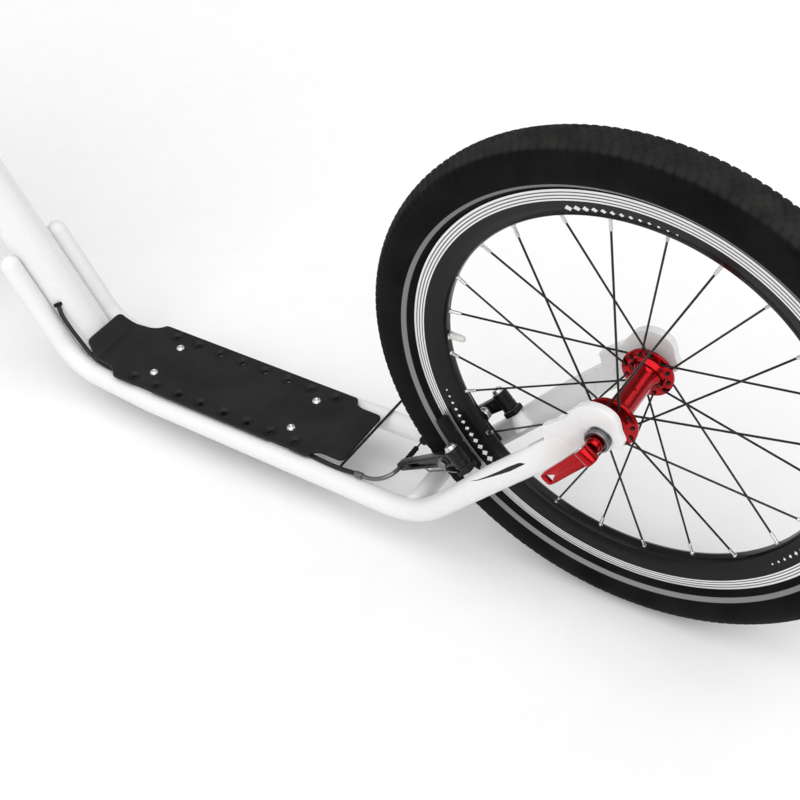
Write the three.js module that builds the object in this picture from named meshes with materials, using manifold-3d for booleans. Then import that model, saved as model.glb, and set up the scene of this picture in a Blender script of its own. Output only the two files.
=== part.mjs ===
// A kick bike: a scooter with bicycle wheels, pushed along by foot, with a low footboard between the wheels.
// Millimetres. +X points forward, +Y to the rider's left, +Z up. The ground is z = 0 and the origin lies
// on it, under the middle of the bike. Wheel parts turn about Y, and the steering turns about its own axis.
import * as THREE from 'three';
import { mergeVertices } from 'three/addons/utils/BufferGeometryUtils.js';
import Module from 'manifold-3d';

const wasm = await Module();
wasm.setup();

// Clearances and overruns shared by all pieces
const touchGap = 0.3;
const runGap = 0.4;
const cutOver = 3;
const mergeDistance = 0.001;

// How finely round things are faceted
const ringSides = 30;
const hubSides = 16;
const rodSides = 10;
const smallSides = 8;
const wireSides = 4;
const curveSteps = 3;
const tubeSides = 12;
const mainTubeSides = 14;

// The whole bike
const wheelBase = 1250;
const headAngle = 71;
const forkRake = 45;
const axleWidth = 100;

// Tyre and rim section, the same on both wheels; radii are counted from the bead seat
const rearBeadRadius = 203;
const frontBeadRadius = 279.5;
const tyre = {
  height: 51, halfWidth: 24.6, treadHalfWidth: 17.5, treadDrop: 6.5, wall: 4, crownHalfWidth: 9.5, crownDrop: 1.3,
  beadHalfWidth: 10.6, beadInner: 6.8,
};
const rim = {
  flangeHeight: 6.5, halfWidth: 12.5, brakeTrack: 10.8, wall: 1.5, depth: 29,
  bedHalfWidth: 4.6, seatDrop: 0.5,
};
const innerTube = { gap: 0.9, halfWidth: 17.6, valveRadius: 2.8, valveLength: 40, capRadius: 3.6, capLength: 13 };
const innerTubeSides = 16;

// Spokes and hub
const spoke = { count: 24, radius: 1.2, firstAngle: -96.4, crossAngle: 30, rimOffset: 2, rimGap: 0.6 };
const hub = {
  flangeRadius: 24.5, flangeFace: 36.4, flangeThickness: 3.4, spokeCircle: 20, shellRadius: 11.3,
  neckRadius: 14, neckFace: 30, waistFace: 23, boreRadius: 9.4, endFace: 43, endRadius: 12.6,
};
const bearing = { width: 9, inset: 0.6 };
const axle = { radius: 5, bore: 2.9, nutRadius: 8.4, stub: 5.2 };
const skewer = { radius: 2.5, capRadius: 9.5, capLength: 14, capTip: 6.5, chamfer: 3 };
const quickLever = {
  length: 62, halfWidth: 8, thickness: 5, barrelRadius: 7, barrelHalf: 8,
  holeFrom: 46, holeTo: 57, holeHalf: 4.4, tipChamfer: 5,
};
const rearQuickAngle = 50.7;
const frontQuickAngle = -146;

// Dropout plates that hold the axle: outlines forward and up from it, and the slot's angle above forward
const dropout = { thickness: 8, slotClear: 0.6, slotReach: 50 };
const rearDropoutOutline = [
  [32, 8.4], [26.4, 18.9], [21, 28], [15.4, 33.1], [9, 36.2], [2.8, 36.9], [-3, 36.2], [-8, 33.9], [-12.6, 30],
  [-15.2, 24.9], [-17, 18], [-18, 11.1], [-21.9, 3], [-20, -4], [-9, -8], [4, -13], [12, -23], [26, -37],
  [48, -57], [62, -70], [72, -77], [72, -47], [51.5, -25], [55.3, -11.5],
];
const rearSlotAngle = -115;
const frontDropoutOutline = [
  [-18, 33], [-2, 36], [5, 20], [13, 11], [16, 0], [13, -10], [6, -15.5], [-6, -16], [-14, -9], [-17, 0], [-17, 14],
];
const frontSlotAngle = -109;

// Frame tubes. Places along the bike are counted forward from the rear axle, and the front corner and the
// kink behind it back from the front axle.
const sideTube = {
  radius: 11.8, stayAngle: 46.5, lowX: 201.6, lowY: 52.2, lowZ: 50.4, lowBend: 90,
  kinkBehind: 690, kinkY: 46.5, kinkZ: 46.8, kinkBend: 300,
  frontBehind: 571, frontZ: 45.7, frontBend: 55, frontAngle: 63, upperReach: 150, endTaper: 12, endRadius: 7,
  stayEndX: 52, stayEndY: 57, plateEndX: 72, bendSteps: 4, kinkSteps: 1,
};
const stayStations = [
  { along: -30, high: 13, wide: 5 },
  { along: -4, high: 13.2, wide: 6 },
  { along: 24, high: 13.4, wide: 8.6 },
  { along: 62, high: 13.4, wide: 9.8 },
  { along: 95, high: 13.1, wide: 10.8 },
  { along: 125, high: 12.4, wide: 11.6 },
];
const bridge = { radius: 10, forward: 206, height: 61 };
const downTube = { radius: 25.5, topRadius: 22, lowerEnd: 27, reach: 330, joinAlongHead: 455, steps: 8 };
const headTube = { radius: 20, bore: 17, from: 406, to: 526, rimRadius: 22, rimLength: 9 };
const cup = { radius: 22.5, height: 13.2, skirt: 12, skirtRadius: 16.6, bore: 14.9, chamfer: 3 };

// Footboard with its cross plates and screws
// The board reaches from its rear end to the crease, which lies just behind the foot of the down tube.
const board = {
  top: 68.2, thickness: 4, halfWidth: 48.3, rearEnd: 300.8, rearLength: 37.1, rearHalf: 37.1, rearNotch: 15,
  creaseGap: 29, noseLength: 39.9, frontNotch: 16, creaseHalf: 34, flapLength: 22, flapHalf: 29.3,
  flapAngle: 53, flapRound: 7, cornerRound: 5,
};
const dimple = { count: 8, row: 37.6, holeRadius: 3.4 };
const dimpleShares = [0.087, 0.908];
const crossPlate = { thickness: 3.4, length: 30, halfWidth: 46 };
const screw = { apart: 23.2, radius: 2.4, headRadius: 5, headHeight: 2.4, length: 11 };
const screwShares = [0.1425, 0.848];

// Fork, with lengths counted up the steering axis from the foot of the front axle's square to it
const fork = {
  crownFrom: 368, crownTo: 391.5, crownRadius: 19.5, steererRadius: 14.4, steererTo: 566, legRadius: 11.5,
  legTopY: 45, legLowY: 57, legBendAt: 165, legBendRadius: 170, legEndRadius: 8, shoulder: 20,
  legFootUp: 26, legFootForward: 36, bendSteps: 4,
};
const stem = {
  radius: 18.5, clampFrom: 539.6, clampTo: 579, reach: 60, barAlong: 580,
  extensionRadius: 13, extensionFrom: 555, barClampRadius: 19, barClampHalf: 23,
};
const topCap = { radius: 16.5, height: 5, boltRadius: 4.5, boltHeight: 2.5, plugRadius: 10 };
const bar = {
  radius: 11.1, centreHalf: 45, riseY: 140, riseHeight: 92, riseBack: 4, sweepBack: 23, tipDrop: 4, halfSpan: 305,
  lowBend: 40, highBend: 50, bendSteps: 3,
};
const grip = { slack: 3, start: 186, radius: 15, lipRadius: 17.5, lipWidth: 3, endRadius: 16, wall: 4 };
const bracket = { y: 172, half: 6.5, radius: 15.5, pitch: 50, pivotReach: 30, barrelReach: 24, barrelLength: 26 };
const brakeLever = {
  pivotRadius: 6.5, pivotHalf: 4.5, bladeHalf: 6, bladeThick: 3.6, tipRadius: 5.5, forkHalf: 8,
};
const leverStations = [
  { out: 0, fore: 0, share: 0.7 },
  { out: 9, fore: 5, share: 0.72 },
  { out: 19, fore: 10, share: 1 },
  { out: 34, fore: 14, share: 0.9 },
  { out: 62, fore: 16, share: 0.85 },
  { out: 90, fore: 19, share: 0.95 },
  { out: 106, fore: 24, share: 0.8 },
];

// Rim brakes: two arms on bosses, each with its pad, joined at the top by the cable
const brake = {
  padUp: 19.5, pivotY: 44, armLength: 112, tipY: 20, armHalfLow: 6.5, armHalfTop: 5, armThick: 10,
  barrelRadius: 8, barrelHalf: 10, pinRadius: 4.2, bossRadius: 6.5, headRadius: 6.8, headHeight: 4,
  slotFrom: 38, slotTo: 92, slotHalf: 2,
};
const rearBrake = { centreForward: 152, centreUp: -105.5, axisAngle: 49.7, bossDepth: 33 };
const frontBrake = { forward: 31, up: 260.6, bossDepth: 31 };
const pad = {
  clear: 2, thickness: 10, half: 5, sweep: 9, steps: 4, postRadius: 3, washerRadius: 6, nutRadius: 5, nutHeight: 5,
};
const noodle = { radius: 2.4, ferruleRadius: 3.5, ferruleLength: 9, steps: 10 };
// The pipe's points, counted up from the arms' tips
const noodleRoute = [
  [0, -14.5, 0], [0, -26, 0], [1, -36, 2.8], [3.5, -42.4, 11], [7.5, -44.4, 22.5], [13, -44.2, 32],
  [18.4, -43.5, 40.2],
];
const boot = { radius: 4.5, wireRadius: 1, length: 22, ribs: 4, ribDepth: 1.3 };

// Cables; their routes are points chosen by hand, the frame's forward from the rear axle
const cable = { radius: 2.5, holeRadius: 3.2, holeDepth: 7, frameSteps: 26, loopSteps: 20, frontSteps: 18 };
const frameCableRoute = [
  [700.5, 23, 117.5], [693, 27.5, 108], [683, 29.5, 95], [672, 30, 80], [662, 30.5, 67.5], [651, 31, 59.6],
  [637, 31.6, 57.2], [610, 32, 57], [560, 32, 57], [480, 32.5, 57], [400, 34, 57], [360, 37, 58], [336, 41, 60.2],
  [318, 43.4, 61.8], [300, 43.6, 62], [290, 43.5, 62.9], [280.4, 43.5, 64.05],
];
const loopRoute = [
  [71, -145.7, 653.8], [75, -118, 653], [83, -80, 645], [90, -40, 622], [92, -4, 588], [86, 28, 552],
  [66, 48, 516], [32, 54, 484], [-2, 50, 462], [-30, 38, 444], [-52, 24, 424], [-63, 14.5, 413.5],
];
const frontCableRoute = [
  [49.6, -43.5, 413.1], [53.2, -43.1, 418.5], [63, -41, 434], [78, -33, 466], [92, -14, 516], [98, 16, 568],
  [96, 52, 612], [88, 92, 640], [78, 122, 651.5], [71, 145.7, 653.8],
];

const white = { color: 0xf3f3f1, roughness: 0.25, metalness: 0 };
const blackRubber = { color: 0x17181a, roughness: 0.85, metalness: 0 };
const blackGloss = { color: 0x101012, roughness: 0.3, metalness: 0.2 };
const blackSatin = { color: 0x2a2a28, roughness: 0.6, metalness: 0.1 };
const red = { color: 0xb01020, roughness: 0.25, metalness: 0.8 };
const steel = { color: 0xb9bbbe, roughness: 0.3, metalness: 1 };

// Worked out from the driving dimensions
const rearRadius = rearBeadRadius + tyre.height;
const frontRadius = frontBeadRadius + tyre.height;
const headTilt = THREE.MathUtils.degToRad(90 - headAngle);
const steerFoot = new THREE.Vector3(
  wheelBase - forkRake * Math.cos(headTilt), 0, frontRadius - forkRake * Math.sin(headTilt));
const axleHalf = axleWidth / 2;
const frontCornerX = wheelBase - sideTube.frontBehind;
const fullTurn = 2 * Math.PI;
const across = new THREE.Vector3(0, 1, 0);
const ahead = new THREE.Vector3(1, 0, 0);

// Geometry helpers

// A closed geometry as a solid: shared corners merged, flat triangles dropped, faces turned outwards.
function toSolid(geometry) {
  const bare = geometry.clone();
  bare.deleteAttribute('normal');
  bare.deleteAttribute('uv');
  const merged = mergeVertices(bare, mergeDistance);
  const index = merged.index.array;
  const corners = [];
  for (let i = 0; i < index.length; i += 3) {
    const [a, b, c] = [index[i], index[i + 1], index[i + 2]];
    if (a !== b && b !== c && a !== c) corners.push(a, b, c);
  }
  const position = merged.getAttribute('position');
  if (enclosedVolume(position, corners) < 0) corners.reverse();
  return new wasm.Manifold(new wasm.Mesh({
    numProp: 3, vertProperties: position.array, triVerts: new Uint32Array(corners) }));
}

// The signed volume inside a list of triangles.
function enclosedVolume(position, corners) {
  const [a, b, c] = [new THREE.Vector3(), new THREE.Vector3(), new THREE.Vector3()];
  let sum = 0;
  for (let i = 0; i < corners.length; i += 3) {
    a.fromBufferAttribute(position, corners[i]);
    b.fromBufferAttribute(position, corners[i + 1]);
    c.fromBufferAttribute(position, corners[i + 2]);
    sum += a.dot(b.cross(c));
  }
  return sum / 6;
}

// A solid as a geometry that a mesh can hold.
function toGeometry(solid) {
  const { vertProperties, triVerts, numProp } = solid.getMesh();
  const count = vertProperties.length / numProp;
  const positions = new Float32Array(count * 3);
  for (let i = 0; i < count; i++) positions.set(vertProperties.subarray(i * numProp, i * numProp + 3), i * 3);
  const geometry = new THREE.BufferGeometry();
  geometry.setAttribute('position', new THREE.BufferAttribute(positions, 3));
  geometry.setIndex(new THREE.BufferAttribute(triVerts, 1));
  geometry.computeVertexNormals();
  return geometry;
}

// The first geometry with the others joined to it.
function joined(first, ...others) {
  return toGeometry(others.reduce((whole, other) => whole.add(toSolid(other)), toSolid(first)));
}

// The first geometry with the others cut out of it.
function cut(first, ...cutters) {
  return toGeometry(cutters.reduce((whole, cutter) => whole.subtract(toSolid(cutter)), toSolid(first)));
}

// The corner radius of a faceted hole that clears a round part by the touching gap.
function boreFor(radius, sides = rodSides) {
  return (radius + touchGap) / Math.cos(Math.PI / sides);
}

// A ring or turned part about Y. The outline is [radius, place along Y] pairs.
function turned(outline, sides, closes = false) {
  const points = outline.map(([r, y]) => new THREE.Vector2(r, y));
  if (closes) points.push(points[0].clone());
  return new THREE.LatheGeometry(points, sides);
}

// Half an outline of [radius, y] pairs and its mirror image.
function mirroredOutline(half) {
  return [...half, ...half.filter(([, y]) => y !== 0).reverse().map(([r, y]) => [r, -y])];
}

// A geometry built along +Y, turned to run from one point towards another.
function aimed(geometry, from, to) {
  const turn = new THREE.Quaternion().setFromUnitVectors(across, to.clone().sub(from).normalize());
  return geometry.applyQuaternion(turn).translate(from.x, from.y, from.z);
}

// A round rod between two points.
function rod(from, to, radius, sides = rodSides, endRadius = radius) {
  const length = from.distanceTo(to);
  const shaft = new THREE.CylinderGeometry(endRadius, radius, length, sides);
  return aimed(shaft.translate(0, length / 2, 0), from, to);
}

// A flat outline given thickness: drawn in X and Z, thick along Y from y = from.
function plateAlongY(shape, from, thickness) {
  const plate = new THREE.ExtrudeGeometry(shape, { depth: thickness, bevelEnabled: false });
  return plate.rotateX(Math.PI / 2).translate(0, from + thickness, 0);
}

// Rings of points joined into one closed skin, each end closed by a fan.
function loft(rings) {
  const sides = rings[0].length;
  const middle = (ring) => ring.reduce((sum, p) => sum.add(p), new THREE.Vector3()).divideScalar(sides);
  const points = [...rings.flat(), middle(rings[0]), middle(rings.at(-1))];
  const faces = [];
  for (let i = 0; i + 1 < rings.length; i++) {
    for (let k = 0; k < sides; k++) {
      const [a, b] = [i * sides + k, i * sides + (k + 1) % sides];
      faces.push(a, b, b + sides, a, b + sides, a + sides);
    }
  }
  const lastRing = (rings.length - 1) * sides;
  for (let k = 0; k < sides; k++) {
    const next = (k + 1) % sides;
    faces.push(next, k, rings.length * sides);
    faces.push(lastRing + k, lastRing + next, rings.length * sides + 1);
  }
  const geometry = new THREE.BufferGeometry().setFromPoints(points);
  geometry.setIndex(faces);
  return geometry;
}

// An oval tube through stations, each with its centre, half width along the side direction and half height.
function sweep(stations, side, sides = tubeSides) {
  const last = stations.length - 1;
  return loft(stations.map((station, i) => {
    const along = stations[Math.min(i + 1, last)].at.clone().sub(stations[Math.max(i - 1, 0)].at).normalize();
    const wide = side.clone().addScaledVector(along, -side.dot(along)).normalize();
    const high = new THREE.Vector3().crossVectors(along, wide);
    return Array.from({ length: sides }, (_, k) => {
      const angle = fullTurn * k / sides;
      return station.at.clone()
        .addScaledVector(wide, station.wide * Math.cos(angle))
        .addScaledVector(high, station.high * Math.sin(angle));
    });
  }));
}

// A path of straight runs between corners, each inner corner rounded to its bend radius.
function bentPath(corners) {
  const path = [corners[0].at.clone()];
  for (let i = 1; i + 1 < corners.length; i++) {
    const { at, bend, steps } = corners[i];
    const back = corners[i - 1].at.clone().sub(at).normalize();
    const on = corners[i + 1].at.clone().sub(at).normalize();
    const half = back.angleTo(on) / 2;
    const centre = at.clone().addScaledVector(back.clone().add(on).normalize(), bend / Math.sin(half));
    const start = at.clone().addScaledVector(back, bend / Math.tan(half)).sub(centre);
    const end = at.clone().addScaledVector(on, bend / Math.tan(half)).sub(centre);
    const axis = new THREE.Vector3().crossVectors(start, end).normalize();
    const sweepAngle = start.angleTo(end);
    for (let k = 0; k <= steps; k++) {
      path.push(start.clone().applyAxisAngle(axis, sweepAngle * k / steps).add(centre));
    }
  }
  path.push(corners.at(-1).at.clone());
  return path;
}

// A round tube of one radius along a path of points.
function roundTube(path, radius, side, sides = tubeSides) {
  return sweep(path.map((at) => ({ at, wide: radius, high: radius })), side, sides);
}

// A cable or pipe along a smooth curve through hand-picked points.
function cord(route, radius, steps) {
  const circle = new THREE.Shape(Array.from({ length: smallSides }, (_, k) => new THREE.Vector2(
    radius * Math.cos(fullTurn * k / smallSides), radius * Math.sin(fullTurn * k / smallSides))));
  const curve = new THREE.CatmullRomCurve3(route.map((p) => new THREE.Vector3(...p)), false, 'centripetal');
  return new THREE.ExtrudeGeometry(circle, { steps, extrudePath: curve, bevelEnabled: false });
}

// One named piece.
function piece(name, geometry, finish) {
  const solid = toGeometry(toSolid(geometry));
  const mesh = new THREE.Mesh(solid, new THREE.MeshStandardMaterial(finish));
  mesh.name = name;
  return mesh;
}

function frameAt(x, y, z) {
  const group = new THREE.Group();
  group.position.set(x, y, z);
  return group;
}

// Wheels

function tyreRing(beadRadius) {
  const crown = beadRadius + tyre.height;
  const shoulder = crown - tyre.treadDrop;
  const middle = beadRadius + tyre.height / 2;
  const flange = beadRadius + rim.flangeHeight + touchGap;
  const outer = mirroredOutline([
    [crown, 0], [crown - tyre.crownDrop, tyre.crownHalfWidth], [shoulder, tyre.treadHalfWidth],
    [middle, tyre.halfWidth], [flange, rim.halfWidth], [flange, tyre.beadHalfWidth],
    [beadRadius, tyre.beadHalfWidth],
  ]);
  const inner = mirroredOutline([
    [beadRadius, tyre.beadInner], [middle - tyre.wall, tyre.halfWidth - tyre.wall],
    [shoulder - tyre.wall, tyre.treadHalfWidth - tyre.wall], [crown - tyre.wall, 0],
  ]);
  const half = (outer.length + 1) / 2;
  return turned([...outer.slice(half), ...outer.slice(0, half), ...inner], ringSides, true);
}

// The tube that holds the air, with the valve that stands out of the rim
function innerTubeRing(beadRadius) {
  const inside = (beadRadius + innerTube.gap) / Math.cos(Math.PI / innerTubeSides);
  const outside = beadRadius + tyre.height - tyre.wall - 2 * innerTube.gap;
  const middle = (inside + outside) / 2;
  const ring = turned(mirroredOutline([
    [outside, 0], [outside - tyre.height / 8, tyre.crownHalfWidth], [middle, innerTube.halfWidth],
    [inside + tyre.height / 6, tyre.crownHalfWidth], [inside, tyre.beadInner - innerTube.gap],
  ]), innerTubeSides, true);
  const root = new THREE.Vector3(inside + tyre.wall, 0, 0);
  const tip = new THREE.Vector3(beadRadius - innerTube.valveLength, 0, 0);
  const capFoot = tip.clone().setX(tip.x + innerTube.capLength);
  return joined(ring, rod(root, tip, innerTube.valveRadius, smallSides),
    rod(capFoot, tip, innerTube.capRadius, smallSides, innerTube.valveRadius));
}

function rimRing(beadRadius) {
  const flange = beadRadius + rim.flangeHeight;
  const seat = beadRadius - rim.seatDrop;
  const wallInside = rim.halfWidth - rim.wall;
  const ring = turned(mirroredOutline([
    [flange - rim.depth, rim.bedHalfWidth], [flange - rim.brakeTrack, rim.halfWidth], [flange, rim.halfWidth],
    [flange, wallInside], [seat, wallInside],
  ]), ringSides, true);
  const holeStart = new THREE.Vector3(flange - rim.depth - cutOver, 0, 0);
  const holeEnd = new THREE.Vector3(seat + cutOver, 0, 0);
  return cut(ring, rod(holeStart, holeEnd, boreFor(innerTube.valveRadius, smallSides), smallSides));
}

// The place of one end of a spoke on a circle about the axle.
function onCircle(angle, radius, y) {
  const turn = THREE.MathUtils.degToRad(angle);
  return new THREE.Vector3(radius * Math.cos(turn), y, radius * Math.sin(turn));
}

// One spoke, from the hub flange to just short of the rim.
function spokeRod(index, beadRadius) {
  const left = index % 2 === 0;
  const side = left ? 1 : -1;
  const angle = spoke.firstAngle + index * 360 / spoke.count;
  const leads = Math.floor(index / 2) % 2 === 0;
  const hubAngle = angle + (leads === left ? 1 : -1) * spoke.crossAngle;
  const bedRadius = (beadRadius + rim.flangeHeight - rim.depth) * Math.cos(Math.PI / ringSides) - spoke.rimGap;
  const foot = onCircle(hubAngle, hub.spokeCircle, side * (hub.flangeFace - hub.flangeThickness / 2));
  return rod(foot, onCircle(angle, bedRadius, side * spoke.rimOffset), spoke.radius, wireSides);
}

function hubWithSpokes(beadRadius) {
  const flangeInside = hub.flangeFace - hub.flangeThickness;
  const shell = turned(mirroredOutline([
    [hub.boreRadius, hub.endFace], [hub.endRadius, hub.endFace], [hub.endRadius, hub.flangeFace],
    [hub.flangeRadius, hub.flangeFace], [hub.flangeRadius, flangeInside], [hub.neckRadius, hub.neckFace],
    [hub.shellRadius, hub.waistFace],
  ]), hubSides, true);
  const spokes = Array.from({ length: spoke.count }, (_, index) => spokeRod(index, beadRadius));
  return joined(shell, ...spokes);
}

// A ball bearing as one closed ring in the end of the hub's bore.
function bearingRing(side) {
  const outside = hub.endFace - bearing.inset;
  const inside = outside - bearing.width;
  const outer = hub.boreRadius * Math.cos(Math.PI / hubSides) - touchGap;
  const inner = boreFor(axle.radius);
  return turned([[inner, side * inside], [outer, side * inside], [outer, side * outside], [inner, side * outside]],
    rodSides, true);
}

// The hollow axle with its lock nuts, which bear on the inner faces of the dropouts.
function axleTube() {
  const nutFace = axleHalf - touchGap;
  const nutInside = hub.endFace + touchGap;
  return turned(mirroredOutline([
    [axle.bore, axleHalf + axle.stub], [axle.radius, axleHalf + axle.stub], [axle.radius, nutFace],
    [axle.nutRadius, nutFace], [axle.nutRadius, nutInside], [axle.radius, nutInside],
  ]), rodSides, true);
}

// The skewer through the axle: its nut on the right, its cam housing on the left.
function skewerRod() {
  const capFace = axleHalf + dropout.thickness + touchGap;
  const capEnd = capFace + skewer.capLength;
  const body = turned([
    [0, -capEnd], [skewer.capTip, -capEnd], [skewer.capRadius, -capEnd + skewer.chamfer],
    [skewer.capRadius, -capFace], [skewer.radius, -capFace], [skewer.radius, capFace],
    [skewer.capRadius, capFace], [skewer.capRadius, capEnd - skewer.chamfer], [skewer.capTip, capEnd], [0, capEnd],
  ], rodSides);
  return body;
}

// The lever that clamps the wheel: its cam barrel lies along local Z, the blade runs along local X.
function quickReleaseLever() {
  const outline = new THREE.Shape();
  const blunt = quickLever.halfWidth - quickLever.tipChamfer;
  outline.moveTo(0, -quickLever.halfWidth);
  outline.lineTo(quickLever.length - quickLever.tipChamfer, -quickLever.halfWidth);
  outline.lineTo(quickLever.length, -blunt);
  outline.lineTo(quickLever.length, blunt);
  outline.lineTo(quickLever.length - quickLever.tipChamfer, quickLever.halfWidth);
  outline.lineTo(0, quickLever.halfWidth);
  const hole = new THREE.Path();
  hole.moveTo(quickLever.holeFrom, 0);
  hole.lineTo(quickLever.holeTo, quickLever.holeHalf);
  hole.lineTo(quickLever.holeTo, -quickLever.holeHalf);
  outline.holes.push(hole);
  const blade = plateAlongY(outline, -quickLever.thickness / 2, quickLever.thickness);
  const barrelEnd = new THREE.Vector3(0, 0, quickLever.barrelHalf);
  const barrel = rod(barrelEnd.clone().negate(), barrelEnd, quickLever.barrelRadius);
  return joined(blade, barrel);
}

// One wheel about its own axle, with everything that turns or clamps with it.
// The bearings turn with the hub; the axle, the skewer and its lever stay with what holds the wheel.
function addWheel(holder, spin, end, beadRadius, quickAngle) {
  spin.add(piece(end + '_tyre', tyreRing(beadRadius), blackRubber));
  spin.add(piece(end + '_inner_tube', innerTubeRing(beadRadius), blackRubber));
  spin.add(piece(end + '_rim', rimRing(beadRadius), blackGloss));
  spin.add(piece(end + '_hub', hubWithSpokes(beadRadius), red));
  spin.add(piece(end + '_left_bearing', bearingRing(1), steel));
  spin.add(piece(end + '_right_bearing', bearingRing(-1), steel));
  holder.add(piece(end + '_axle', axleTube(), steel));
  holder.add(piece(end + '_skewer', skewerRod(), steel));
  const pivotY = axleHalf + dropout.thickness + skewer.capLength + quickLever.barrelRadius + 2 * touchGap;
  const pivot = frameAt(0, pivotY, 0);
  pivot.name = end + '_quick_pivot';
  pivot.rotation.y = THREE.MathUtils.degToRad(quickAngle);
  pivot.add(piece(end + '_quick_lever', quickReleaseLever(), red));
  holder.add(pivot);
}

// Frame

// Corner points of one side member, from the dropout down the stay, forward and up the front.
function sideMemberPath(side) {
  const stay = THREE.MathUtils.degToRad(sideTube.stayAngle);
  const front = THREE.MathUtils.degToRad(sideTube.frontAngle);
  const frontY = downTube.radius + sideTube.radius + touchGap;
  const stayRun = sideTube.lowX - sideTube.stayEndX;
  const low = new THREE.Vector3(sideTube.lowX, side * sideTube.lowY, sideTube.lowZ);
  const stayEnd = new THREE.Vector3(
    sideTube.stayEndX, side * sideTube.stayEndY, sideTube.lowZ + stayRun * Math.tan(stay));
  const kink = new THREE.Vector3(wheelBase - sideTube.kinkBehind, side * sideTube.kinkY, sideTube.kinkZ);
  const corner = new THREE.Vector3(frontCornerX, side * frontY, sideTube.frontZ);
  const upper = corner.clone().add(
    new THREE.Vector3(Math.cos(front), 0, Math.sin(front)).multiplyScalar(sideTube.upperReach));
  return [
    { at: stayEnd },
    { at: low, bend: sideTube.lowBend, steps: sideTube.bendSteps },
    { at: kink, bend: sideTube.kinkBend, steps: sideTube.kinkSteps },
    { at: corner, bend: sideTube.frontBend, steps: sideTube.bendSteps },
    { at: upper },
  ];
}

// One side member: an oval stay that flattens towards the dropout, then a round tube to the front.
function sideMember(side) {
  const path = bentPath(sideMemberPath(side));
  const stayEnd = path[0];
  const down = path[1].clone().sub(stayEnd).normalize();
  const outwards = new THREE.Vector3().crossVectors(down, across);
  const stations = stayStations.map(({ along, high, wide }) => ({
    at: stayEnd.clone().addScaledVector(down, along).addScaledVector(outwards, high - sideTube.radius),
    wide, high,
  }));
  const full = { wide: sideTube.radius, high: sideTube.radius };
  stations.push(...path.slice(1, -1).map((at) => ({ at, ...full })));
  const end = path.at(-1);
  const back = path.at(-2).clone().sub(end).normalize();
  stations.push({ at: end.clone().addScaledVector(back, sideTube.endTaper), ...full });
  stations.push({ at: end, wide: sideTube.endRadius, high: sideTube.endRadius });
  const pivot = rearPivot();
  const foot = pivot.at.clone().addScaledVector(pivot.axis, -rearBrake.bossDepth);
  const boss = brakeBoss(foot.setY(side * brake.pivotY), pivot.axis, rearBrake.bossDepth);
  return cut(joined(sweep(stations, across), ...boss), ...stayEndCutters(side));
}

// What is cut from the end of a stay: all behind its upright end, and the pocket that the dropout sits in.
function stayEndCutters(side) {
  const size = rearRadius;
  const endFace = sideTube.stayEndX - size / 2;
  const pocketFace = sideTube.plateEndX + touchGap - size / 2;
  const pocketY = axleHalf + dropout.thickness + touchGap - size / 2;
  return [
    new THREE.BoxGeometry(size, size, size).translate(endFace, side * size / 2, rearRadius),
    new THREE.BoxGeometry(size, size, size).translate(pocketFace, side * pocketY, rearRadius),
  ];
}

// A brake boss: a stud that stands on its foot, the pin that the arm turns on and the bolt that keeps it.
function brakeBoss(foot, axis, depth) {
  const along = (distance) => foot.clone().addScaledVector(axis, distance);
  const head = depth + brake.barrelHalf + runGap;
  return [
    rod(foot, along(depth - brake.barrelHalf - runGap), brake.bossRadius, smallSides),
    rod(foot, along(head + brake.headHeight / 2), brake.pinRadius, smallSides),
    rod(along(head), along(head + brake.headHeight), brake.headRadius, smallSides),
  ];
}

// The middle of the rear brake's pivots, and the direction that its pins point.
function rearPivot() {
  const turn = THREE.MathUtils.degToRad(rearBrake.axisAngle);
  return {
    at: new THREE.Vector3(rearBrake.centreForward, 0, rearRadius + rearBrake.centreUp),
    axis: new THREE.Vector3(Math.cos(turn), 0, Math.sin(turn)),
  };
}

// A plate about the axle, open below so that the wheel drops out, drawn from its outline.
function dropoutPlate(points, slotAngle, side) {
  const outline = new THREE.Shape(points.map(([x, z]) => new THREE.Vector2(x, z)));
  const plate = plateAlongY(outline, side > 0 ? axleHalf : -axleHalf - dropout.thickness, dropout.thickness);
  const slotRadius = axle.radius + dropout.slotClear;
  const far = side * (axleHalf + dropout.thickness + cutOver);
  const near = side * (axleHalf - cutOver);
  const eye = rod(new THREE.Vector3(0, near, 0), new THREE.Vector3(0, far, 0), slotRadius);
  const mouth = new THREE.BoxGeometry(dropout.slotReach, Math.abs(far - near), 2 * slotRadius)
    .translate(dropout.slotReach / 2, (near + far) / 2, 0)
    .rotateY(-THREE.MathUtils.degToRad(slotAngle));
  return cut(plate, eye, mouth);
}

// The cross tube ahead of the rear wheel, cut to the side members.
function rearBridge() {
  const end = new THREE.Vector3(bridge.forward, sideTube.lowY, bridge.height);
  const tube = rod(end.clone().setY(-sideTube.lowY), end, bridge.radius);
  const grown = sideTube.radius + touchGap;
  const cutters = [1, -1].map((side) => roundTube(bentPath(sideMemberPath(side)), grown, across));
  return cut(tube, ...cutters);
}

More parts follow.
